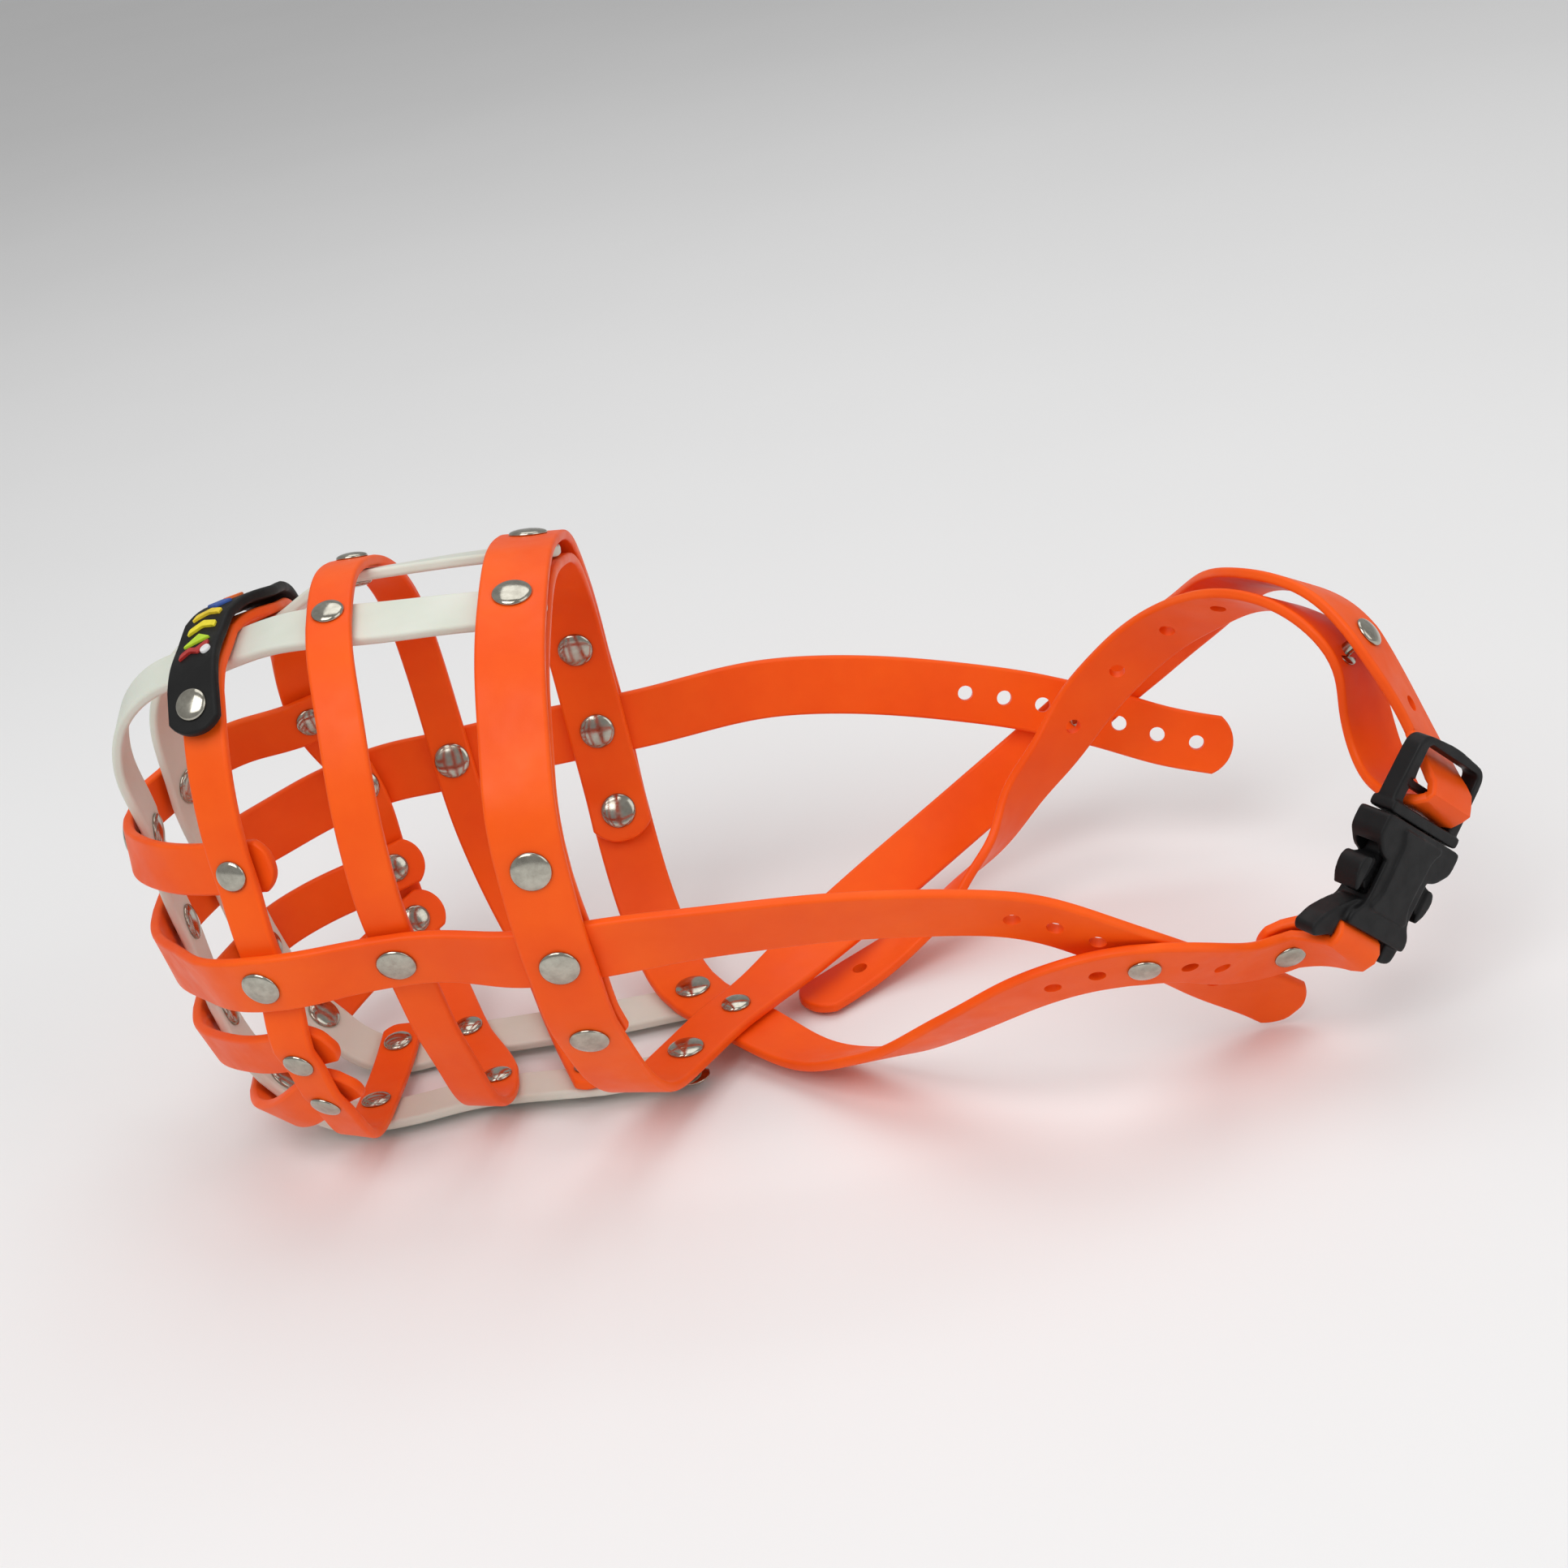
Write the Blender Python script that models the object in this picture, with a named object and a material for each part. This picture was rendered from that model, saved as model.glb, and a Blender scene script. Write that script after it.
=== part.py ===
"""Strap basket muzzle for a dog, with a side-release neck buckle.

Lengths are in millimetres and are scaled to metres when a mesh is made.
The nose points to -X, the dog's left side is -Y and +Z is up.
Every strap is a flat ribbon swept along a route. A route is a list of stops. A stop is
either a named crossing with a layer number, or a free point with its outward normal.
Layer 0 is the outermost strap of a crossing, -1 the one inside it, +1 lies on top.
"""
import math

import bpy
import bmesh
from mathutils import Matrix, Vector

MM = 0.001

# Straps
THICKNESS = 2.4
LAYER_GAP = 0.5
PITCH = THICKNESS + LAYER_GAP
LOOSE = 1.3
LIFT = 1.6
PATCH_LAYER = 1.3
COLLAR_WIDTH = 15.0
CHEEK_WIDTH = 15.0
HOOP_WIDTH = 10.0
BAND_WIDTH = 12.0
WHITE_WIDTH = 12.5
PATCH_WIDTH = 12.0
FLAT_HALF_LENGTH = 7.0
STATION_STEP = 7.0
END_REACH = 8.0
LOOP_END_REACH = 6.0
SPLIT_GAP = 0.4

# Rivets
SHANK_RADIUS = 1.5
HOLE_RADIUS = 2.2
CAP_LARGE = 4.4
CAP_SMALL = 3.6
CAP_HEIGHT = 1.3
CAP_GAP = 0.35
PUNCHED_RADIUS = 1.9
RIVET_HOLE_DEPTH = THICKNESS + 0.35
PUNCHED_HOLE_DEPTH = 2 * THICKNESS

# Buckle, in its own axes: a runs from socket to plug, w across, n outward
BUCKLE_ORIGIN = (126.6, -35.5, 46.7)
BUCKLE_AXIS = (0.586, 0.393, 0.707)
BUCKLE_FACE = (0.569, -0.822, -0.015)
PLUG_HALF_WIDTH = 12.8
SOCKET_HALF_WIDTH = 13.8
WING_HALF_WIDTH = 14.8
WING_HALF_THICKNESS = 2.8
PLUG_SLOT_HALF_WIDTH = 9.4
SOCKET_SLOT_HALF_WIDTH = 11.6
SOCKET_HALF_THICKNESS = 4.4
CAVITY_HALF_WIDTH = 11.8
CAVITY_HALF_THICKNESS = 3.0
COLLAR_LENGTH = 7.0
WAIST_HALF_WIDTH = 7.8
CAVITY_DEPTH = 17.5
SOCKET_SLOT = (-26.5, -22.0)
SOCKET_BAR = (-29.3, -27.1)
SOCKET_BAR_HALF_THICKNESS = 1.1
PLUG_START = 0.5
PLUG_END = 19.8
PLUG_HALF_THICKNESS = 1.5
PLUG_SLOT_TOP = (8.9, 17.3)
PLUG_SLOT_LOW = (3.1, 7.2)
TONGUE_LENGTH = 14.0
TONGUE_HALF_WIDTH = 1.6
PRONG_HALF_THICKNESS = 2.2
BAR_LOOP_RADIUS = 3.2
BAR_LOOP_SHIFT = 3.4

# Moves every route so that the finished box stands centred on z = 0
PLACE = Vector((8.357, -2.703, -0.265))

ORANGE = ("orange_strap", (0.90, 0.13, 0.015), 0.45, 0.0)
WHITE = ("white_strap", (0.78, 0.80, 0.72), 0.5, 0.0)
NICKEL = ("nickel", (0.62, 0.62, 0.56), 0.2, 1.0)
BLACK = ("black_plastic", (0.02, 0.02, 0.02), 0.5, 0.0)
RUBBER = ("black_rubber", (0.015, 0.015, 0.015), 0.6, 0.0)


def mirrored(name, point, normal):
    """The left and right crossings of a symmetric pair, given its right one."""
    x, y, z = point
    nx, ny, nz = normal
    return {
        name + "_left": ((x, -y, z), (nx, -ny, nz)),
        name + "_right": ((x, y, z), (nx, ny, nz)),
    }


CROSSINGS = {
    "hoop_top_left": ((-122.6, -10, 127.9), (-0.28, -0.22, 0.94)),
    "hoop_top_right": ((-117.2, 15, 124.4), (-0.28, 0.25, 0.93)),
    "patch_left": ((-122.8, -30, 120.9), (-0.18, -0.72, 0.67)),
    "patch_right": ((-119, 31, 113.4), (-0.18, 0.83, 0.53)),
    "upper_hoop_left": ((-123.5, -42, 87.5), (-0.29, -0.95, 0.11)),
    "upper_hoop_right": ((-122.5, 42, 87.3), (-0.29, 0.95, 0.11)),
    "cheek_hoop_left": ((-122.5, -49.5, 63.9), (-0.29, -0.93, -0.2)),
    "cheek_hoop_right": ((-117.1, 49.5, 62.9), (-0.29, 0.93, -0.2)),
    "lower_hoop_left": ((-121.3, -45.5, 41.3), (-0.32, -0.88, -0.35)),
    "lower_hoop_right": ((-114.4, 46, 39.9), (-0.32, 0.88, -0.35)),
    "chin_hoop_left": ((-119.7, -41.5, 27.5), (-0.35, -0.8, -0.49)),
    "chin_hoop_right": ((-111.8, 41.5, 26), (-0.35, 0.8, -0.49)),
    "hoop_under_left": ((-118.6, -12, 3.2), (-0.02, -0.1, -1)),
    "hoop_under_right": ((-117.1, 15, 3.1), (-0.02, 0.1, -1)),
    "second_under_left": ((-88.9, -10, 3.4), (-0.02, -0.1, -1)),
    "second_under_right": ((-98.8, 15, 4), (-0.02, 0.1, -1)),
    "end_under_left": ((-66, -13.7, 4), (-0.02, -0.1, -1)),
    "end_under_right": ((-74.6, 13.7, 4.3), (-0.02, 0.1, -1)),
    "upper_nose_left": ((-157, -2, 82.8), (-0.99, -0.1, 0.09)),
    "upper_nose_right": ((-154.1, 25, 82.3), (-0.9, 0.42, 0.07)),
    "cheek_nose_left": ((-157.1, 0, 56.4), (-0.99, -0.1, -0.11)),
    "cheek_nose_right": ((-151.8, 25, 57.4), (-0.92, 0.38, -0.13)),
    "lower_nose_left": ((-154.8, -1, 31.5), (-0.97, -0.1, -0.24)),
    "lower_nose_right": ((-148.1, 24, 34.3), (-0.89, 0.38, -0.26)),
    "chin_nose_left": ((-143.3, -8, 11.9), (-0.74, -0.12, -0.67)),
    "chin_nose_right": ((-138, 20, 12.9), (-0.72, 0.2, -0.67)),
    "collar_under_left": ((-41.9, -16.5, 4.4), (-0.02, -0.05, -1)),
    "collar_under_right": ((-41.9, 16.5, 3.4), (-0.02, 0.05, -1)),
    "throat": ((-30.1, 0, 6.3), (-0.02, 0, -1)),
    "adjust_left": ((64.3, -59.3, 38.4), (-0.05, -0.86, -0.51)),
    "adjust_right": ((64.8, 64, 41), (0.02, 0.94, -0.33)),
    "socket_loop": ((96.3, -45, 27.1), (0.15, -0.87, -0.47)),
    "plug_loop": ((125, -10, 82), (0.75, -0.25, 0.6)),
}
CROSSINGS.update(mirrored("collar_top", (-54.3, 18, 129.1), (0.1, 0.25, 0.95)))
CROSSINGS.update(mirrored("collar_side", (-56.6, 60.3, 85.7), (0, 1, 0.05)))
CROSSINGS.update(mirrored("collar_cheek", (-56, 60.5, 62.7), (-0.03, 0.985, -0.17)))
CROSSINGS.update(mirrored("collar_low", (-55.2, 54, 40.6), (-0.08, 0.88, -0.46)))
CROSSINGS.update(mirrored("second_top", (-94.5, 16, 131.8), (0.03, 0.3, 0.95)))
CROSSINGS.update(mirrored("second_cheek", (-92.3, 50.5, 64.7), (-0.06, 0.95, -0.3)))


class Stop:
    """One place that a strap runs through."""

    def __init__(self, point, normal, tangent=None, flat=0.0, riveted=False):
        self.point = Vector(point)
        self.normal = Vector(normal).normalized()
        self.tangent = tangent
        self.flat = flat
        self.riveted = riveted


def at(crossing, layer, flip=1, riveted=True, flat=FLAT_HALF_LENGTH):
    """A stop at a crossing, straight for a length each way; flip -1 turns the face round."""
    point, normal = CROSSINGS[crossing]
    normal = Vector(normal).normalized()
    place = Vector(point) + normal * layer * PITCH + PLACE
    return Stop(place, normal * flip, flat=flat, riveted=riveted)


def free(point, normal, tangent=None):
    """A stop between crossings, in the part's own axes."""
    return Stop(Vector(point) + PLACE, normal, tangent)


def mirror_free(point, normal):
    """The left and right free stops of a symmetric pair, given the right one."""
    left = free((point[0], -point[1], point[2]), (normal[0], -normal[1], normal[2]))
    return left, free(point, normal)


def buckle_frame():
    """Origin and unit axes a, w, n of the buckle."""
    a = Vector(BUCKLE_AXIS).normalized()
    n = Vector(BUCKLE_FACE)
    n = (n - a * n.dot(a)).normalized()
    return Vector(BUCKLE_ORIGIN) + PLACE, a, n.cross(a), n


def buckle_point(a, w, n):
    """A point given in the buckle's axes."""
    origin, axis, across, face = buckle_frame()
    return origin + axis * a + across * w + face * n


def buckle_stop(a, n, turn, w=0.0):
    """A strap stop at w across the buckle; turn is its heading from +a towards +n."""
    axis, face = buckle_frame()[1], buckle_frame()[3]
    c = math.cos(math.radians(turn))
    s = math.sin(math.radians(turn))
    heading = axis * c + face * s
    normal = axis * -s + face * c
    return Stop(buckle_point(a, w, n), normal, heading)


def flipped(stop):
    """The same stop with the strap's other face outward."""
    return Stop(stop.point, -stop.normal, stop.tangent, stop.flat, stop.riveted)


# ---------------------------------------------------------------- ribbon geometry


def stop_tangents(stops):
    """Heading at each stop: given, or that of the parabola through its neighbours."""
    result = []
    for i, stop in enumerate(stops):
        if stop.tangent is not None:
            heading = Vector(stop.tangent)
        elif i == 0:
            heading = stops[1].point - stop.point
        elif i == len(stops) - 1:
            heading = stop.point - stops[i - 1].point
        else:
            back = stop.point - stops[i - 1].point
            ahead = stops[i + 1].point - stop.point
            heading = back / back.length_squared + ahead / ahead.length_squared
        heading = heading - stop.normal * heading.dot(stop.normal)
        result.append(heading.normalized())
    return result


def flat_stations(stops, tangents):
    """Knots (point, tangent, normal) with a short straight run through each crossing."""
    knots = []
    for i, stop in enumerate(stops):
        before = after = stop.flat
        if i > 0:
            before = min(before, 0.42 * (stop.point - stops[i - 1].point).length)
        if i < len(stops) - 1:
            after = min(after, 0.42 * (stops[i + 1].point - stop.point).length)
        t, n = tangents[i], stop.normal
        if stop.flat and i > 0:
            knots.append((stop.point - t * before, t, n))
        knots.append((stop.point, t, n))
        if stop.flat and i < len(stops) - 1:
            knots.append((stop.point + t * after, t, n))
    return knots


def hermite(p0, t0, p1, t1, u):
    """Point and derivative of a cubic Hermite span with chord-long tangents."""
    chord = (p1 - p0).length
    u2, u3 = u * u, u * u * u
    m0, m1 = t0 * chord, t1 * chord
    point = p0 * (2 * u3 - 3 * u2 + 1) + m0 * (u3 - 2 * u2 + u)
    point += p1 * (3 * u2 - 2 * u3) + m1 * (u3 - u2)
    slope = (p0 - p1) * (6 * u2 - 6 * u) + m0 * (3 * u2 - 4 * u + 1) + m1 * (3 * u2 - 2 * u)
    return point, slope


def stations(stops, step=STATION_STEP):
    """Stations (point, tangent, normal) along a route."""
    knots = flat_stations(stops, stop_tangents(stops))
    result = [knots[0]]
    for (p0, t0, n0), (p1, t1, n1) in zip(knots, knots[1:]):
        pieces = max(1, math.ceil((p1 - p0).length / step - 0.1))
        for k in range(1, pieces):
            u = k / pieces
            point, slope = hermite(p0, t0, p1, t1, u)
            ease = u * u * (3 - 2 * u)
            tangent = slope.normalized()
            normal = n0.lerp(n1, ease)
            normal = (normal - tangent * normal.dot(tangent)).normalized()
            result.append((point, tangent, normal))
        result.append((p1, t1, n1))
    return result


ROUND_END = (0.03, 0.15, 0.4, 1.0)


def end_rings(station, reach, half_width, sign):
    """Rings (point, tangent, normal, half width) of a rounded end, tip first."""
    point, tangent, normal = station
    rings = []
    for k in ROUND_END:
        shift = reach - k * half_width
        width = half_width * math.sqrt(1 - (1 - k) ** 2)
        rings.append((point + tangent * sign * shift, tangent, normal, width))
    return rings


def ribbon_rings(route_stations, width, reach):
    """All rings of a strap, with rounded ends where reach is a number."""
    half = width / 2
    body = [(p, t, n, half) for p, t, n in route_stations]
    if reach[0] is not None:
        head = end_rings(route_stations[0], reach[0], half, -1)
        body = head + body[1:]
    if reach[1] is not None:
        tail = end_rings(route_stations[-1], reach[1], half, 1)
        body = body[:-1] + tail[::-1]
    return body


def ribbon_mesh(name, rings, thickness):
    """A closed ribbon through the rings, in triangles so that a twisted strap stays thick."""
    bm = bmesh.new()
    loops = []
    for point, tangent, normal, half in rings:
        across = tangent.cross(normal).normalized() * half
        lift = normal * thickness / 2
        corners = (across + lift, lift - across, -across - lift, across - lift)
        loops.append([bm.verts.new((point + c) * MM) for c in corners])
    for a, b in zip(loops, loops[1:]):
        for i in range(4):
            j = (i + 1) % 4
            bm.faces.new((a[i], a[j], b[j]))
            bm.faces.new((a[i], b[j], b[i]))
    bm.faces.new(loops[0][::-1])
    bm.faces.new(loops[-1])
    bmesh.ops.recalc_face_normals(bm, faces=bm.faces)
    mesh = bpy.data.meshes.new(name)
    bm.to_mesh(mesh)
    bm.free()
    return mesh


# ---------------------------------------------------------------- objects


def material(recipe):
    """The named Principled material, made once."""
    name, colour, roughness, metallic = recipe
    found = bpy.data.materials.get(name)
    if found:
        return found
    found = bpy.data.materials.new(name)
    found.use_nodes = True
    shader = found.node_tree.nodes["Principled BSDF"]
    shader.inputs["Base Color"].default_value = (*colour, 1.0)
    shader.inputs["Roughness"].default_value = roughness
    shader.inputs["Metallic"].default_value = metallic
    return found


def add_object(name, mesh, recipe=None):
    """An object in the scene, with its material."""
    item = bpy.data.objects.new(name, mesh)
    bpy.context.scene.collection.objects.link(item)
    if recipe:
        mesh.materials.append(material(recipe))
    return item


def frame_matrix(point, normal):
    """A placing matrix in metres whose local Z is the normal."""
    turn = Vector(normal).to_track_quat("Z", "Y").to_matrix().to_4x4()
    return Matrix.Translation(Vector(point) * MM) @ turn


def drill(item, holes):
    """Cuts holes (point, normal, radius, depth) through a strap with one Boolean."""
    bm = bmesh.new()
    for point, normal, radius, depth in holes:
        bmesh.ops.create_cone(
            bm, cap_ends=True, segments=6, radius1=radius * MM, radius2=radius * MM,
            depth=depth * MM, matrix=frame_matrix(point, normal))
    mesh = bpy.data.meshes.new(item.name + "_holes")
    bm.to_mesh(mesh)
    bm.free()
    cut_with(item, add_object(mesh.name, mesh))


def cut_with(item, cutter):
    """Subtracts a cutter, which stays out of the build."""
    cutter.hide_render = True
    cutter.display_type = "WIRE"
    modifier = item.modifiers.new("cut_" + cutter.name, "BOOLEAN")
    modifier.operation = "DIFFERENCE"
    modifier.solver = "EXACT"
    modifier.object = cutter


def point_at(route_stations, start, distance):
    """Point and normal on the route, a distance along it from a start point."""
    points = [s[0] for s in route_stations]
    nearest = min(range(len(points)), key=lambda i: (points[i] - start).length)
    step = 1 if distance >= 0 else -1
    left = abs(distance)
    i = nearest
    while 0 <= i + step < len(points):
        run = (points[i + step] - points[i]).length
        if left <= run:
            u = left / run
            normal = route_stations[i][2].lerp(route_stations[i + step][2], u)
            return points[i].lerp(points[i + step], u), normal.normalized()
        left -= run
        i += step
    return points[i], route_stations[i][2]


def strap(name, stops, width, recipe=ORANGE, reach=(END_REACH, END_REACH), thickness=THICKNESS,
          punched=()):
    """One strap with its rivet holes and punched holes (stop index, distances)."""
    route = stations(stops)
    item = add_object(name, ribbon_mesh(name, ribbon_rings(route, width, reach), thickness), recipe)
    holes = [(s.point, s.normal, HOLE_RADIUS, RIVET_HOLE_DEPTH) for s in stops if s.riveted]
    for index, distances in punched:
        for distance in distances:
            point, normal = point_at(route, stops[index].point, distance)
            holes.append((point, normal, PUNCHED_RADIUS, PUNCHED_HOLE_DEPTH))
    if holes:
        drill(item, holes)
    return item


def lathe(name, profile, segments, place, recipe):
    """A turned body from (radius, height) pairs; the first and last radius are zero."""
    bm = bmesh.new()
    bottom = bm.verts.new((0, 0, profile[0][1] * MM))
    rings = []
    for radius, height in profile[1:-1]:
        ring = []
        for k in range(segments):
            angle = 2 * math.pi * k / segments
            spot = (radius * math.cos(angle), radius * math.sin(angle), height)
            ring.append(bm.verts.new(Vector(spot) * MM))
        rings.append(ring)
    top = bm.verts.new((0, 0, profile[-1][1] * MM))
    for k in range(segments):
        j = (k + 1) % segments
        bm.faces.new((bottom, rings[0][j], rings[0][k]))
        bm.faces.new((top, rings[-1][k], rings[-1][j]))
        for low, high in zip(rings, rings[1:]):
            bm.faces.new((low[k], low[j], high[j], high[k]))
    bmesh.ops.recalc_face_normals(bm, faces=bm.faces)
    bm.transform(place)
    mesh = bpy.data.meshes.new(name)
    bm.to_mesh(mesh)
    bm.free()
    return add_object(name, mesh, recipe)


def rivet(name, crossing, inner, outer, cap):
    """A double-cap rivet through the layers inner to outer of a crossing."""
    point, normal = CROSSINGS[crossing]
    low = inner * PITCH - THICKNESS / 2 - CAP_GAP
    high = outer * PITCH + THICKNESS / 2 + CAP_GAP
    profile = [(0, low - CAP_HEIGHT), (0.7 * cap, low - 0.75 * CAP_HEIGHT), (cap, low),
               (SHANK_RADIUS, low), (SHANK_RADIUS, high),
               (cap, high), (0.7 * cap, high + 0.75 * CAP_HEIGHT), (0, high + CAP_HEIGHT)]
    place = frame_matrix(Vector(point) + PLACE, Vector(normal).normalized())
    return lathe(name, profile, 8, place, NICKEL)


def slab(name, outline, low, high, recipe=None):
    """A flat piece of the buckle: an (a, w) outline extruded from low to high along n."""
    bm = bmesh.new()
    base = [bm.verts.new(buckle_point(a, w, low) * MM) for a, w in outline]
    top = [bm.verts.new(buckle_point(a, w, high) * MM) for a, w in outline]
    bm.faces.new(base[::-1])
    bm.faces.new(top)
    for i in range(len(outline)):
        j = (i + 1) % len(outline)
        bm.faces.new((base[i], base[j], top[j], top[i]))
    bmesh.ops.recalc_face_normals(bm, faces=bm.faces)
    mesh = bpy.data.meshes.new(name)
    bm.to_mesh(mesh)
    bm.free()
    return add_object(name, mesh, recipe)


def both_sides(half_outline):
    """A closed outline from its +w half, given from one end to the other."""
    return half_outline + [(a, -w) for a, w in reversed(half_outline)]


def rectangle(a0, a1, half_width):
    """A rectangular outline, centred across the buckle."""
    return [(a0, -half_width), (a1, -half_width), (a1, half_width), (a0, half_width)]


# ---------------------------------------------------------------- sub-parts


def white_straps():
    """Two nose-line straps that run over the bridge, round the nose and under the jaw."""
    fronts = {
        "left": [free((-138, -9, 123), (-0.5, -0.2, 0.84)),
                 free((-149.5, -6, 114), (-0.8, -0.15, 0.57)),
                 free((-154.5, -3.5, 99), (-0.98, -0.1, 0.2))],
        "right": [free((-130, 17, 123.5), (-0.5, 0.25, 0.83)),
                  free((-142.5, 20, 114.5), (-0.78, 0.3, 0.55)),
                  free((-150.5, 23, 100), (-0.92, 0.35, 0.2))],
    }
    under = {
        "left": free((-131.4, -10.5, 4.9), (-0.45, -0.1, -0.9)),
        "right": free((-128, 17.5, 5.3), (-0.45, 0.15, -0.9)),
    }
    for side in ("left", "right"):
        stops = [at("collar_top_" + side, -1), at("second_top_" + side, -1),
                 at("hoop_top_" + side, -1, riveted=False)]
        stops += fronts[side]
        for band in ("upper", "cheek", "lower", "chin"):
            stops.append(at(f"{band}_nose_{side}", -LOOSE))
        stops.append(under[side])
        for place in ("hoop_under_", "second_under_", "end_under_", "collar_under_"):
            stops.append(at(place + side, 0))
        strap("white_strap_" + side, stops, WHITE_WIDTH, WHITE, (7.0, 5.5))


def hoop_strap():
    """One long strap wound twice round the snout as two hoops; gives its stations."""
    stops = [
        at("hoop_under_right", -1), at("hoop_under_left", -1),
        free((-118.8, -32, 11.5), (-0.3, -0.55, -0.78)),
        at("chin_hoop_left", 0), at("lower_hoop_left", 0), at("cheek_hoop_left", -LOOSE),
        at("upper_hoop_left", 0), free((-123.6, -38.8, 104.5), (-0.25, -0.93, 0.27)),
        at("patch_left", 0), at("hoop_top_left", 0, riveted=False),
        at("hoop_top_right", 0, riveted=False), at("patch_right", 0),
        free((-121.5, 40.3, 104), (-0.25, 0.93, 0.27)),
        at("upper_hoop_right", 0), at("cheek_hoop_right", -LOOSE),
        at("lower_hoop_right", 0), at("chin_hoop_right", 0),
        free((-105.5, 33, 12.5), (-0.3, 0.55, -0.78)),
        at("second_under_right", -1), at("second_under_left", -1),
        free((-89, -27, 11), (-0.2, -0.5, -0.84)),
        free((-90.2, -40.5, 36), (-0.15, -0.83, -0.54)),
        at("second_cheek_left", -1),
        free((-92.8, -49, 90), (0, -0.99, 0.1)), free((-92.6, -38, 117.5), (0.05, -0.77, 0.63)),
        at("second_top_left", 0), at("second_top_right", 0),
        free((-92.6, 38, 117.5), (0.05, 0.77, 0.63)), free((-92.8, 49, 90), (0, 0.99, 0.1)),
        at("second_cheek_right", -1),
        free((-88, 42.5, 33), (-0.15, 0.83, -0.54)), free((-80, 31, 12.5), (-0.2, 0.5, -0.84)),
        at("end_under_right", -1), at("end_under_left", -1),
    ]
    strap("hoop_strap", stops, HOOP_WIDTH)
    return stations(stops)


def front_bands():
    """Three short bands round the nose, held between the white straps and the first hoop."""
    sides = {
        "upper": (free((-144.5, -27, 85.3), (-0.72, -0.68, 0.1)),
                  free((-160.5, 11.5, 81.8), (-0.98, 0.18, 0.05)),
                  free((-141, 37.5, 84.8), (-0.65, 0.75, 0.08))),
        "lower": (free((-142, -26.5, 35.3), (-0.66, -0.68, -0.3)),
                  free((-156, 11.5, 31.5), (-0.94, 0.15, -0.28)),
                  free((-134, 37.5, 37.5), (-0.6, 0.72, -0.32))),
        "chin": (free((-133, -28.5, 17.5), (-0.52, -0.58, -0.62)),
                 free((-143.5, 6, 11.5), (-0.73, 0.03, -0.68)),
                 free((-126, 34, 19), (-0.5, 0.6, -0.62))),
    }
    names = {"upper": "nose_band_upper", "lower": "nose_band_lower", "chin": "chin_band"}
    for band, (left, middle, right) in sides.items():
        stops = [at(f"{band}_hoop_left", -LOOSE), left, at(f"{band}_nose_left", 0), middle,
                 at(f"{band}_nose_right", 0), right, at(f"{band}_hoop_right", -LOOSE)]
        strap(names[band], stops, BAND_WIDTH)


def cheek_strap():
    """One strap round the nose and both cheeks, with a punched tail on each side."""
    stops = [
        free((92.6, -34.2, 9.6), (-0.05, -0.95, -0.3)),
        free((78, -41, 22.6), (-0.05, -0.9, -0.42)),
        at("adjust_left", -1, flat=5.0),
        free((39.7, -57.3, 54.4), (-0.05, -0.88, -0.47)),
        free((11.2, -59.5, 61.1), (-0.04, -0.91, -0.42)),
        free((-22.6, -60.7, 64.4), (-0.05, -0.93, -0.36)),
        at("collar_cheek_left", -1), at("second_cheek_left", 0), at("cheek_hoop_left", 0),
        free((-146, -28, 59.2), (-0.7, -0.7, -0.18)),
        at("cheek_nose_left", 0), free((-158.5, 12, 56), (-0.98, 0.12, -0.12)),
        at("cheek_nose_right", 0), free((-137.5, 40, 59.6), (-0.62, 0.76, -0.17)),
        at("cheek_hoop_right", 0), at("second_cheek_right", 0), at("collar_cheek_right", -1),
        free((-9, 62, 63.5), (-0.03, 0.98, -0.2)), free((35, 63, 53), (-0.02, 0.95, -0.3)),
        at("adjust_right", -1, flat=9.5),
        free((84.2, 55.8, 34), (0, 0.96, -0.27)), free((93.7, 54.5, 31), (0, 0.97, -0.25)),
    ]
    strap("cheek_strap", stops, CHEEK_WIDTH, reach=(7.5, 7.5),
          punched=[(2, (-30, -19.5, 11, 20.5, 30)), (19, (-30, -20, -10, 10, 20, 30))])


def collar_liner():
    """The arch inside the collar, whose ends are riveted low on each side."""
    shoulder = mirror_free((-55.4, 43.7, 110.8), (0, 0.8, 0.59))
    stops = [
        at("collar_low_left", -LOOSE), at("collar_cheek_left", -2), at("collar_side_left", -1),
        shoulder[0],
        at("collar_top_left", -2), at("collar_top_right", -2),
        shoulder[1],
        at("collar_side_right", -1), at("collar_cheek_right", -2), at("collar_low_right", -LOOSE),
    ]
    strap("collar_liner", stops, COLLAR_WIDTH)


def socket_loop_stops():
    """The collar strap's end, wrapped round the socket's bar, from its tip to the main run."""
    bar = sum(SOCKET_BAR) / 2
    r = BAR_LOOP_RADIUS
    turn = []
    for angle in range(-40, 141, 30):
        c, s = math.cos(math.radians(angle)), math.sin(math.radians(angle))
        turn.append(flipped(buckle_stop(bar + r * c, r * s, angle + 90, BAR_LOOP_SHIFT)))
    inner = [at("socket_loop", -1, flip=-1, flat=4.5)]
    outer = [at("socket_loop", 0, flat=4.5)]
    return inner + turn + outer


def split_stop(shift):
    """The cut in the neck strap beyond the right adjusting screw."""
    heading = Vector((0.74, -0.2, 0.64)).normalized()
    point = Vector((71.3, 67, 44.3)) + heading * shift
    return free(point, (0.2, 0.95, -0.15), heading)


def tail_split_stop(shift):
    """The cut in the strap's long tail."""
    heading = Vector((-0.79, -0.36, -0.49)).normalized()
    point = Vector((21.3, 27, 11.3)) + heading * shift
    return free(point, (0.5, -0.1, -0.8), heading)


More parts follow.
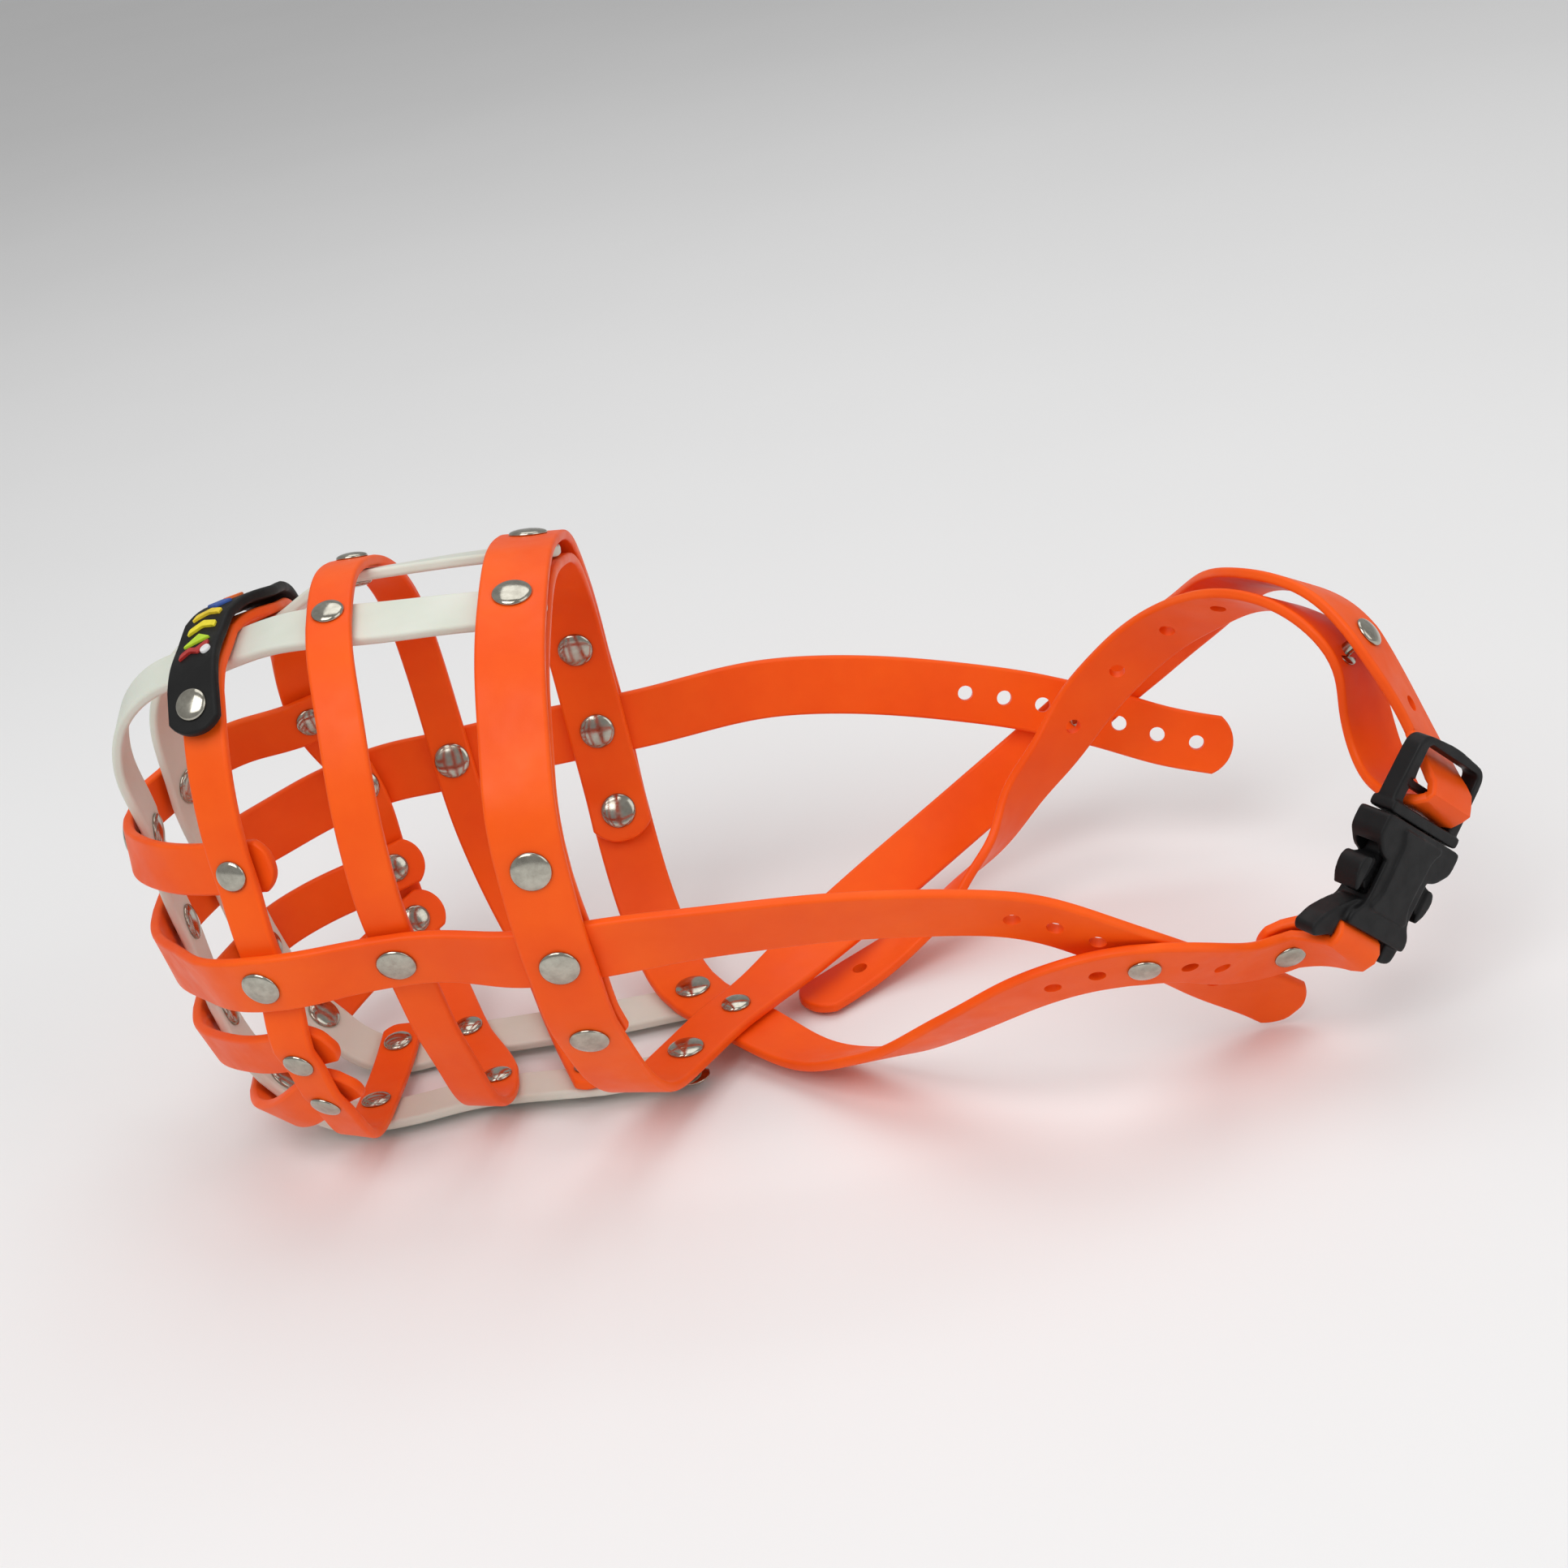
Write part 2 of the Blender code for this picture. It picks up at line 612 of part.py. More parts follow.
def collar_strap():
    """The one strap that makes the collar and the near and far neck straps."""
    shoulder = mirror_free((-55.4, 46, 113), (0, 0.8, 0.59))
    bend = mirror_free((-50, 35.5, 13), (-0.15, 0.5, -0.86))
    stops = socket_loop_stops()
    stops += [
        at("adjust_left", 0, flat=6.0),
        free((42.9, -57, 36.1), (-0.05, -0.82, -0.57)), free((25.7, -49.5, 26), (0, -0.72, -0.69)),
        free((5.5, -35.5, 12), (0, -0.5, -0.86)), free((-13, -18, 3.6), (-0.05, -0.2, -0.98)),
        at("throat", 0), at("collar_under_right", -1), bend[1],
        at("collar_low_right", 0), at("collar_cheek_right", 0), at("collar_side_right", 0),
        shoulder[1], at("collar_top_right", 0), at("collar_top_left", 0), shoulder[0],
        at("collar_side_left", 0), at("collar_cheek_left", 0), at("collar_low_left", 0),
        bend[0], at("collar_under_left", -LIFT), at("throat", -1),
        free((-12, 17, 12.7), (-0.15, 0.35, -0.93)), free((4.9, 34, 15.7), (-0.3, 0.6, -0.74)),
        free((24.4, 51, 20.3), (-0.3, 0.75, -0.6)), free((42.1, 60.5, 27.5), (-0.1, 0.9, -0.42)),
        at("adjust_right", 0.6, flat=5.0), split_stop(-SPLIT_GAP / 2),
    ]
    adjust = stops.index(next(s for s in stops if (s.point - at("adjust_left", 0).point).length < 1e-6))
    strap("collar_strap", stops, COLLAR_WIDTH, reach=(LOOP_END_REACH, None),
          punched=[(adjust, (-19.5, -10, 10, 20))])


def arch_strap():
    """The strap over the nape: through the plug and back down as the start of the tail."""
    weave = [
        buckle_stop(20.0, -9.0, 127), buckle_stop(13.3, -0.2, 128), buckle_stop(11.0, 2.5, 138),
        buckle_stop(8.05, 3.7, 180), buckle_stop(6.2, 2.4, 225), buckle_stop(5.2, 0.0, 262),
        buckle_stop(4.9, -3.5, 268),
    ]
    weave = [Stop(s.point, -s.normal, s.tangent) for s in weave]
    stops = [
        split_stop(SPLIT_GAP / 2),
        free((84.9, 55, 59.4), (0.45, 0.88, 0.1)), free((95.7, 38, 74.5), (0.45, 0.75, 0.42)),
        free((106.8, 14, 89.9), (0.35, 0.4, 0.85)),
        at("plug_loop", 0, flat=4.0),
    ]
    stops += weave
    stops += [
        free((126, -18, 49.8), (-0.5, 0.2, -0.85)), free((124.4, -10, 55.8), (-0.5, 0.65, -0.5)),
        free((122.8, -8, 66.4), (-0.61, 0.77, -0.16)), at("plug_loop", -2, flip=-1, flat=4.0),
        free((104.5, 11.5, 86.3), (-0.35, -0.4, -0.85)), free((89.9, 29.5, 76.6), (-0.4, -0.7, -0.6)),
        free((80.8, 37, 68.8), (-0.3, -0.85, -0.4)), free((68.3, 41.5, 56.7), (-0.2, -0.93, -0.3)),
        free((50, 40, 37), (0.15, -0.85, -0.5)), free((34.3, 33.5, 20.2), (0.35, -0.5, -0.75)),
        tail_split_stop(-SPLIT_GAP / 2),
    ]
    strap("arch_strap", stops, COLLAR_WIDTH, reach=(None, None))


def tail_strap():
    """The rest of the long tail, which hangs inside the neck strap down to the throat."""
    stops = [
        tail_split_stop(SPLIT_GAP / 2), free((-0.5, 17, 3.3), (0.1, 0.05, -0.97)),
        free((-9.5, 10.5, 2.6), (0, 0, -1)),
    ]
    strap("tail_strap", stops, COLLAR_WIDTH, reach=(None, 6.0), punched=[(1, (0,))])


def patch(hoop_route):
    """Rubber badge that follows the top of the first hoop, one layer out."""
    ends = [at("patch_" + side, 0) for side in ("left", "right")]
    places = [station[0] for station in hoop_route]
    first, last = (min(range(len(places)), key=lambda i: (places[i] - e.point).length) for e in ends)
    lift = PATCH_LAYER * PITCH
    route = [(p + n * lift, t, n) for p, t, n in hoop_route[first:last + 1]]
    rings = ribbon_rings(route, PATCH_WIDTH, (6.5, 6.5))
    item = add_object("badge_patch", ribbon_mesh("badge_patch", rings, THICKNESS), RUBBER)
    drill(item, [(e.point + e.normal * lift, e.normal, HOLE_RADIUS, RIVET_HOLE_DEPTH) for e in ends])


def buckle_socket():
    """The female half: a collar, a waist with side windows, and a bar for the strap."""
    w = SOCKET_HALF_WIDTH
    half = [(0, w), (-COLLAR_LENGTH, w), (-COLLAR_LENGTH - 1.5, WAIST_HALF_WIDTH),
            (-CAVITY_DEPTH, WAIST_HALF_WIDTH), (SOCKET_SLOT[1] + 1.5, w - 1.0),
            (SOCKET_BAR[0], WING_HALF_WIDTH)]
    t = SOCKET_HALF_THICKNESS
    body = slab("buckle_socket", both_sides(half), -t, t, BLACK)
    cavity = rectangle(-CAVITY_DEPTH, 1.0, CAVITY_HALF_WIDTH)
    slot = rectangle(SOCKET_SLOT[0] - 0.6, SOCKET_SLOT[1], SOCKET_SLOT_HALF_WIDTH)
    over = rectangle(SOCKET_BAR[0] - 1.0, SOCKET_SLOT[1] - 0.5, SOCKET_SLOT_HALF_WIDTH - 0.2)
    c = CAVITY_HALF_THICKNESS
    cut_with(body, slab("socket_cavity_cut", cavity, -c, c))
    cut_with(body, slab("socket_slot_cut", slot, -t - 1, t + 1))
    cut_with(body, slab("socket_over_bar_cut", over, SOCKET_BAR_HALF_THICKNESS, t + 1))
    cut_with(body, slab("socket_under_bar_cut", over, -t - 1, -SOCKET_BAR_HALF_THICKNESS))
    wings = rectangle(SOCKET_BAR[0] - 2.0, SOCKET_SLOT[1] + 1.2, WING_HALF_WIDTH + 1.0)
    cut_with(body, slab("socket_wing_top_cut", wings, WING_HALF_THICKNESS, t + 2))
    cut_with(body, slab("socket_wing_under_cut", wings, -t - 2, -WING_HALF_THICKNESS))


def buckle_plug():
    """The male half's frame and centre tongue."""
    w = PLUG_HALF_WIDTH
    half = [(-TONGUE_LENGTH, TONGUE_HALF_WIDTH), (PLUG_START, TONGUE_HALF_WIDTH), (PLUG_START, w),
            (PLUG_END - 2.0, w), (PLUG_END, w - 2.0)]
    t = PLUG_HALF_THICKNESS
    body = slab("buckle_plug", both_sides(half), -t, t, BLACK)
    for name, span in (("plug_top_slot_cut", PLUG_SLOT_TOP), ("plug_low_slot_cut", PLUG_SLOT_LOW)):
        cut_with(body, slab(name, rectangle(*span, PLUG_SLOT_HALF_WIDTH), -t - 1, t + 1))


def prongs():
    """The two spring arms, each hinged at its root beside the tongue."""
    arm = [(0.2, 6.2), (0.2, 8.7), (-8.6, 8.7), (-9.8, 11.2), (-13.5, 11.0), (-16.8, 8.0),
           (-16.4, 6.6), (-12.0, 7.6), (-8.0, 6.2)]
    for name, side in (("prong_left", -1), ("prong_right", 1)):
        outline = [(a, w * side) for a, w in arm]
        slab(name, outline, -PRONG_HALF_THICKNESS, PRONG_HALF_THICKNESS, BLACK)


def rivets():
    """Every rivet and screw, named by its place."""
    for side in ("left", "right"):
        rivet("rivet_collar_top_" + side, "collar_top_" + side, -2, 0, CAP_LARGE)
        rivet("rivet_collar_side_" + side, "collar_side_" + side, -1, 0, CAP_LARGE)
        rivet("rivet_collar_cheek_" + side, "collar_cheek_" + side, -2, 0, CAP_LARGE)
        rivet("rivet_collar_low_" + side, "collar_low_" + side, -LOOSE, 0, CAP_LARGE)
        rivet("rivet_second_top_" + side, "second_top_" + side, -1, 0, CAP_SMALL)
        rivet("rivet_second_cheek_" + side, "second_cheek_" + side, -1, 0, CAP_LARGE)
        rivet("rivet_patch_" + side, "patch_" + side, 0, PATCH_LAYER, CAP_SMALL)
        rivet("rivet_cheek_hoop_" + side, "cheek_hoop_" + side, -LOOSE, 0, CAP_LARGE)
        for band in ("upper", "lower", "chin"):
            rivet(f"rivet_{band}_hoop_{side}", f"{band}_hoop_{side}", -LOOSE, 0, CAP_SMALL)
        for band in ("upper", "cheek", "lower", "chin"):
            rivet(f"rivet_{band}_nose_{side}", f"{band}_nose_{side}", -LOOSE, 0, CAP_LARGE)
        for place in ("hoop_under_", "second_under_", "end_under_"):
            rivet("rivet_" + place + side, place + side, -1, 0, CAP_SMALL)
    rivet("rivet_collar_under_left", "collar_under_left", -LIFT, 0, CAP_LARGE)
    rivet("rivet_collar_under_right", "collar_under_right", -1, 0, CAP_LARGE)
    rivet("rivet_throat", "throat", -1, 0, CAP_SMALL)
    rivet("screw_adjust_left", "adjust_left", -1, 0, CAP_SMALL)
    rivet("screw_adjust_right", "adjust_right", -1, 0.6, CAP_SMALL)
    rivet("screw_socket_loop", "socket_loop", -1, 0, CAP_SMALL)
    rivet("screw_plug_loop", "plug_loop", -2, 0, CAP_SMALL)


def main():
    for item in list(bpy.data.objects):
        bpy.data.objects.remove(item, do_unlink=True)
    white_straps()
    hoop_route = hoop_strap()
    front_bands()
    cheek_strap()
    collar_liner()
    collar_strap()
    arch_strap()
    tail_strap()
    patch(hoop_route)
    buckle_socket()
    buckle_plug()
    prongs()
    rivets()


main()
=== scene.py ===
"""Looks of the strap basket muzzle: fine straps, domed rivets, buckle, materials, light and camera.

Lengths are in millimetres and are scaled to metres when a mesh is made.
Each strap is swept along a route. A route is a list of stops: a named crossing with a layer
number, or a free point with its outward normal. Layer 0 is the outermost strap of a crossing.
"""
import math

import bmesh
import bpy
from mathutils import Matrix, Vector


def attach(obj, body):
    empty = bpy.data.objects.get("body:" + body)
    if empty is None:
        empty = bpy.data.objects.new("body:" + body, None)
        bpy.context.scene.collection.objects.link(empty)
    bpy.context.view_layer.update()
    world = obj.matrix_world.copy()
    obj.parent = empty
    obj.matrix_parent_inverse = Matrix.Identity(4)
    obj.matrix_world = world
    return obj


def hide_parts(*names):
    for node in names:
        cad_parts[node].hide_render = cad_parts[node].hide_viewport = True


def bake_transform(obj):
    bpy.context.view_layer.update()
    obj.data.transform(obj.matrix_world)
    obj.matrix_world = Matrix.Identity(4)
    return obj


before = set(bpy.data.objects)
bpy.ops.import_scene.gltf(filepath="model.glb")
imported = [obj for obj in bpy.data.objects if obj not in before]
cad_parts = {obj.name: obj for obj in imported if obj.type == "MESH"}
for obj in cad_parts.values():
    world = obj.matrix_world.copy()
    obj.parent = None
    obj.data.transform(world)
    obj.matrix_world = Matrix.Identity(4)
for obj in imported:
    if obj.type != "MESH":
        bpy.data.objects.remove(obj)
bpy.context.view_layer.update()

MM = 0.001
# Straps
THICKNESS = 2.4
LAYER_GAP = 0.5
PITCH = THICKNESS + LAYER_GAP
LOOSE = 1.3
LIFT = 1.6
PATCH_LAYER = 1.3
COLLAR_WIDTH = 15.0
CHEEK_WIDTH = 15.0
HOOP_WIDTH = 10.0
BAND_WIDTH = 12.0
WHITE_WIDTH = 12.5
PATCH_WIDTH = 12.0
FLAT_HALF_LENGTH = 7.0
FLAT_SHARE = 0.42
END_REACH = 8.0
LOOP_END_REACH = 6.0
WHITE_REACH = (7.0, 5.5)
CHEEK_REACH = (7.5, 7.5)
PATCH_REACH = (6.5, 6.5)
TAIL_REACH = (None, 6.0)

# Rivets
SHANK_RADIUS = 1.5
CAP_LARGE = 4.4
CAP_SMALL = 3.6
PUNCHED_RADIUS = 1.9
RIVET_HOLE_DEPTH = THICKNESS + 0.35
PUNCHED_HOLE_DEPTH = 2 * THICKNESS

# Buckle, in its own axes: a runs from socket to plug, w across, n outward
BUCKLE_ORIGIN = (126.6, -35.5, 46.7)
BUCKLE_AXIS = (0.586, 0.393, 0.707)
BUCKLE_FACE = (0.569, -0.822, -0.015)
PLUG_HALF_WIDTH = 12.8
SOCKET_HALF_WIDTH = 13.8
WING_HALF_THICKNESS = 2.8
PLUG_SLOT_HALF_WIDTH = 9.4
SOCKET_HALF_THICKNESS = 4.4
CAVITY_HALF_WIDTH = 11.8
CAVITY_HALF_THICKNESS = 3.0
WAIST_HALF_WIDTH = 7.8
CAVITY_DEPTH = 17.5
SOCKET_BAR = (-29.3, -27.1)
SOCKET_BAR_HALF_THICKNESS = 1.1
PLUG_START = 0.5
PLUG_END = 19.8
PLUG_HALF_THICKNESS = 1.5
PLUG_SLOT_TOP = (8.9, 17.3)
PLUG_SLOT_LOW = (3.1, 7.2)
TONGUE_LENGTH = 14.0
TONGUE_HALF_WIDTH = 1.6
PRONG_HALF_THICKNESS = 2.2
BAR_LOOP_RADIUS = 3.2
BAR_LOOP_SHIFT = 3.4

# Moves every route so that the finished box stands centred on z = 0
PLACE = Vector((8.357, -2.703, -0.265))

# Smooth straps
FINE_STEP = 1.8
STEP_MARGIN = 0.1
RELAX_ROUNDS = 20
KEEP_LEAST = 1.0
KEEP_SHARE = 0.6
WEAVE_SHIFT = -2.6
STRAP_SHARP_ANGLE = 38.0
HOLE_SEGMENTS = 28
SHANK_HOLE_RADIUS = 1.9
PLUG_LOOP_LAYERS = 1.5
WHITE_END_SHIFT = Vector((-3.0, 1.8, 0.0))

# Domed rivet heads
HEAD_GAP = 0.02
HEAD_HEIGHT = 1.35
HEAD_SHARP_ANGLE = 50.0
RIM_CUT = 0.12
RIM_START = 0.14
RIM_RISE = 0.3
DOME_INSET = 0.04
DOME_BASE = 0.34
DOME_STEPS = 9
RIVET_SEGMENTS = 48

# Raised badge shapes
SHAPE_SINK = 0.15
SHAPE_RISE = 0.45
SHAPE_CROWN = 0.62
SHAPE_TAPER = 0.9
SHAPE_CORNER = 0.5
SHAPE_CORNER_STEPS = 3
SHAPE_SHARP_ANGLE = 50.0
CIRCLE_STEPS = 24

# Moulded buckle
CORNER_STEPS = 6
PANEL_DEPTH = 1.0
PANEL_RISE = 0.6
CUT_MARGIN = 2.0
FRAME_HALF_THICKNESS = 2.3
FOOT_HALF_THICKNESS = 3.3
LOBE_HALF_THICKNESS = 3.3
ROOT_HALF_THICKNESS = 2.6
LIP_END = -24.8
LIP_UNDERSIDE = 1.8
MOULD_VOXEL = 0.26
MOULD_ROUNDS = 5
MOULD_KEEP = 0.35

# Studio
FLOOR_HALF_SIZE = 8.0
FLOOR_DROP = 0.0002
LIGHT_TARGET = Vector((0.0, 0.0, 0.06))
WORLD_STRENGTH = 0.42
LIGHTS = [
    ("key", (-0.35, -0.75, 1.15), 0.9, 8.5),
    ("fill", (1.0, -0.5, 0.7), 0.9, 3.0),
    ("top", (0.1, 0.5, 1.3), 1.0, 4.5),
]
CAMERA_PLACE = Vector((0.047697, -0.506023, 0.306715))
CAMERA_RIGHT = (0.98163, 0.0, -0.19081)
CAMERA_UP = (0.17150, 0.43837, 0.88228)
CAMERA_BACK = (0.0836, -0.8988, 0.4303)
CAMERA_LENS = 55.9
CAMERA_SENSOR = 36.0
CAMERA_CLIP = (0.01, 50.0)


def mirrored(name, point, normal):
    """The left and right crossings of a symmetric pair, given its right one."""
    x, y, z = point
    nx, ny, nz = normal
    return {
        name + "_left": ((x, -y, z), (nx, -ny, nz)),
        name + "_right": ((x, y, z), (nx, ny, nz)),
    }


CROSSINGS = {
    "hoop_top_left": ((-122.6, -10, 127.9), (-0.28, -0.22, 0.94)),
    "hoop_top_right": ((-117.2, 15, 124.4), (-0.28, 0.25, 0.93)),
    "patch_left": ((-122.8, -30, 120.9), (-0.18, -0.72, 0.67)),
    "patch_right": ((-119, 31, 113.4), (-0.18, 0.83, 0.53)),
    "upper_hoop_left": ((-123.5, -42, 87.5), (-0.29, -0.95, 0.11)),
    "upper_hoop_right": ((-122.5, 42, 87.3), (-0.29, 0.95, 0.11)),
    "cheek_hoop_left": ((-122.5, -49.5, 63.9), (-0.29, -0.93, -0.2)),
    "cheek_hoop_right": ((-117.1, 49.5, 62.9), (-0.29, 0.93, -0.2)),
    "lower_hoop_left": ((-121.3, -45.5, 41.3), (-0.32, -0.88, -0.35)),
    "lower_hoop_right": ((-114.4, 46, 39.9), (-0.32, 0.88, -0.35)),
    "chin_hoop_left": ((-119.7, -41.5, 27.5), (-0.35, -0.8, -0.49)),
    "chin_hoop_right": ((-111.8, 41.5, 26), (-0.35, 0.8, -0.49)),
    "hoop_under_left": ((-118.6, -12, 3.2), (-0.02, -0.1, -1)),
    "hoop_under_right": ((-117.1, 15, 3.1), (-0.02, 0.1, -1)),
    "second_under_left": ((-88.9, -10, 3.4), (-0.02, -0.1, -1)),
    "second_under_right": ((-98.8, 15, 4), (-0.02, 0.1, -1)),
    "end_under_left": ((-66, -13.7, 4), (-0.02, -0.1, -1)),
    "end_under_right": ((-74.6, 13.7, 4.3), (-0.02, 0.1, -1)),
    "upper_nose_left": ((-157, -2, 82.8), (-0.99, -0.1, 0.09)),
    "upper_nose_right": ((-154.1, 25, 82.3), (-0.9, 0.42, 0.07)),
    "cheek_nose_left": ((-157.1, 0, 56.4), (-0.99, -0.1, -0.11)),
    "cheek_nose_right": ((-151.8, 25, 57.4), (-0.92, 0.38, -0.13)),
    "lower_nose_left": ((-154.8, -1, 31.5), (-0.97, -0.1, -0.24)),
    "lower_nose_right": ((-148.1, 24, 34.3), (-0.89, 0.38, -0.26)),
    "chin_nose_left": ((-143.3, -8, 11.9), (-0.74, -0.12, -0.67)),
    "chin_nose_right": ((-138, 20, 12.9), (-0.72, 0.2, -0.67)),
    "collar_under_left": ((-41.9, -16.5, 4.4), (-0.02, -0.05, -1)),
    "collar_under_right": ((-41.9, 16.5, 3.4), (-0.02, 0.05, -1)),
    "throat": ((-30.1, 0, 6.3), (-0.02, 0, -1)),
    "adjust_left": ((64.3, -59.3, 38.4), (-0.05, -0.86, -0.51)),
    "adjust_right": ((64.8, 64, 41), (0.02, 0.94, -0.33)),
    "socket_loop": ((96.3, -45, 27.1), (0.15, -0.87, -0.47)),
    "plug_loop": ((125, -10, 82), (0.75, -0.25, 0.6)),
}
CROSSINGS.update(mirrored("collar_top", (-54.3, 18, 129.1), (0.1, 0.25, 0.95)))
CROSSINGS.update(mirrored("collar_side", (-56.6, 60.3, 85.7), (0, 1, 0.05)))
CROSSINGS.update(mirrored("collar_cheek", (-56, 60.5, 62.7), (-0.03, 0.985, -0.17)))
CROSSINGS.update(mirrored("collar_low", (-55.2, 54, 40.6), (-0.08, 0.88, -0.46)))
CROSSINGS.update(mirrored("second_top", (-94.5, 16, 131.8), (0.03, 0.3, 0.95)))
CROSSINGS.update(mirrored("second_cheek", (-92.3, 50.5, 64.7), (-0.06, 0.95, -0.3)))


class Stop:
    """One place that a strap runs through."""

    def __init__(self, point, normal, tangent=None, flat=0.0, riveted=False):
        self.point = Vector(point)
        self.normal = Vector(normal).normalized()
        self.tangent = tangent
        self.flat = flat
        self.riveted = riveted


def at(crossing, layer, flip=1, riveted=True, flat=FLAT_HALF_LENGTH):
    """A stop at a crossing, straight for a length each way; flip -1 turns the face round."""
    point, normal = CROSSINGS[crossing]
    normal = Vector(normal).normalized()
    place = Vector(point) + normal * layer * PITCH + PLACE
    return Stop(place, normal * flip, flat=flat, riveted=riveted)


def free(point, normal, tangent=None):
    """A stop between crossings, in the part's own axes."""
    return Stop(Vector(point) + PLACE, normal, tangent)


def mirror_free(point, normal):
    """The left and right free stops of a symmetric pair, given the right one."""
    left = free((point[0], -point[1], point[2]), (normal[0], -normal[1], normal[2]))
    return left, free(point, normal)


def buckle_place():
    """Origin and unit axes a, w, n of the buckle."""
    a = Vector(BUCKLE_AXIS).normalized()
    n = Vector(BUCKLE_FACE)
    n = (n - a * n.dot(a)).normalized()
    return Vector(BUCKLE_ORIGIN) + PLACE, a, n.cross(a), n


def buckle_point(a, w, n):
    """A point given in the buckle's axes."""
    origin, axis, across, face = buckle_place()
    return origin + axis * a + across * w + face * n


def buckle_stop(a, n, turn, w=0.0):
    """A strap stop at w across the buckle; turn is its heading from +a towards +n."""
    axis, face = buckle_place()[1], buckle_place()[3]
    c = math.cos(math.radians(turn))
    s = math.sin(math.radians(turn))
    heading = axis * c + face * s
    normal = axis * -s + face * c
    return Stop(buckle_point(a, w, n), normal, heading)


def flipped(stop):
    """The same stop with the strap's other face outward."""
    return Stop(stop.point, -stop.normal, stop.tangent, stop.flat, stop.riveted)


# ---- ribbon geometry


def stop_tangents(stops):
    """Heading at each stop: given, or that of the parabola through its neighbours."""
    result = []
    for i, stop in enumerate(stops):
        if stop.tangent is not None:
            heading = Vector(stop.tangent)
        elif i == 0:
            heading = stops[1].point - stop.point
        elif i == len(stops) - 1:
            heading = stop.point - stops[i - 1].point
        else:
            back = stop.point - stops[i - 1].point
            ahead = stops[i + 1].point - stop.point
            heading = back / back.length_squared + ahead / ahead.length_squared
        heading = heading - stop.normal * heading.dot(stop.normal)
        result.append(heading.normalized())
    return result


def flat_stations(stops, tangents):
    """Knots (point, tangent, normal) with a short straight run through each crossing."""
    knots = []
    for i, stop in enumerate(stops):
        before = after = stop.flat
        if i > 0:
            before = min(before, FLAT_SHARE * (stop.point - stops[i - 1].point).length)
        if i < len(stops) - 1:
            after = min(after, FLAT_SHARE * (stops[i + 1].point - stop.point).length)
        t, n = tangents[i], stop.normal
        if stop.flat and i > 0:
            knots.append((stop.point - t * before, t, n))
        knots.append((stop.point, t, n))
        if stop.flat and i < len(stops) - 1:
            knots.append((stop.point + t * after, t, n))
    return knots


def hermite(p0, t0, p1, t1, u):
    """Point and derivative of a cubic Hermite span with chord-long tangents."""
    chord = (p1 - p0).length
    u2, u3 = u * u, u * u * u
    m0, m1 = t0 * chord, t1 * chord
    point = p0 * (2 * u3 - 3 * u2 + 1) + m0 * (u3 - 2 * u2 + u)
    point += p1 * (3 * u2 - 2 * u3) + m1 * (u3 - u2)
    slope = (p0 - p1) * (6 * u2 - 6 * u) + m0 * (3 * u2 - 4 * u + 1) + m1 * (3 * u2 - 2 * u)
    return point, slope


def stations(stops):
    """Stations (point, tangent, normal) along a route."""
    knots = flat_stations(stops, stop_tangents(stops))
    result = [knots[0]]
    for (p0, t0, n0), (p1, t1, n1) in zip(knots, knots[1:]):
        pieces = max(1, math.ceil((p1 - p0).length / FINE_STEP - STEP_MARGIN))
        for k in range(1, pieces):
            u = k / pieces
            point, slope = hermite(p0, t0, p1, t1, u)
            ease = u * u * (3 - 2 * u)
            tangent = slope.normalized()
            normal = n0.lerp(n1, ease)
            normal = (normal - tangent * normal.dot(tangent)).normalized()
            result.append((point, tangent, normal))
        result.append((p1, t1, n1))
    return result


# ---- straps

SECTION_RADIUS = 0.85
SECTION_LIMIT = 0.98
SECTION_STEPS = 4
FLAT_STEPS = 3
TIP_RADIUS = 1.18
TIP_RINGS = 9
TIP_LEAST_RISE = 0.3


def section(half, thick):
    """Points (across, lift) of a strap section with rounded edges."""
    r = min(SECTION_RADIUS, SECTION_LIMIT * half, SECTION_LIMIT * thick)
    points = []
    for cx, cy, start in ((half - r, thick - r, 0), (r - half, thick - r, 90),
                          (r - half, r - thick, 180), (half - r, r - thick, 270)):
        for k in range(SECTION_STEPS + 1):
            angle = math.radians(start + 90 * k / SECTION_STEPS)
            points.append((cx + r * math.cos(angle), cy + r * math.sin(angle)))
        if start in (0, 180):
            x, y = points[-1]
            for k in range(1, FLAT_STEPS):
                points.append((x * (1 - 2 * k / FLAT_STEPS), y))
    return points


def tip_rings(station, reach, half, thick, sign):
    """Rings of a wide-arc strap tip, tip first."""
    point, tangent, normal = station
    radius = TIP_RADIUS * half
    arc = radius - math.sqrt(radius * radius - half * half)
    rings = []
    for k in range(1, TIP_RINGS + 1):
        depth = arc * (k / TIP_RINGS) ** 2
        width = math.sqrt(2 * radius * depth - depth * depth)
        edge = max(0.0, SECTION_RADIUS - depth)
        rise = thick - SECTION_RADIUS + math.sqrt(SECTION_RADIUS ** 2 - edge ** 2)
        spot = point + tangent * sign * (reach - depth)
        rings.append((spot, tangent, normal, min(width, half), max(rise, TIP_LEAST_RISE)))
    return rings


def strap_rings(route, width, reach):
    """All rings (point, tangent, normal, half width, half thickness) of a strap."""
    half, thick = width / 2, THICKNESS / 2
    body = [(p, t, n, half, thick) for p, t, n in route]
    if reach[0] is not None:
        body = tip_rings(route[0], reach[0], half, thick, -1) + body[1:]
    if reach[1] is not None:
        body = body[:-1] + tip_rings(route[-1], reach[1], half, thick, 1)[::-1]
    return body


def mesh_from(bm, name):
    """The finished mesh of a bmesh."""
    mesh = bpy.data.meshes.new(name)
    bm.to_mesh(mesh)
    bm.free()
    return mesh


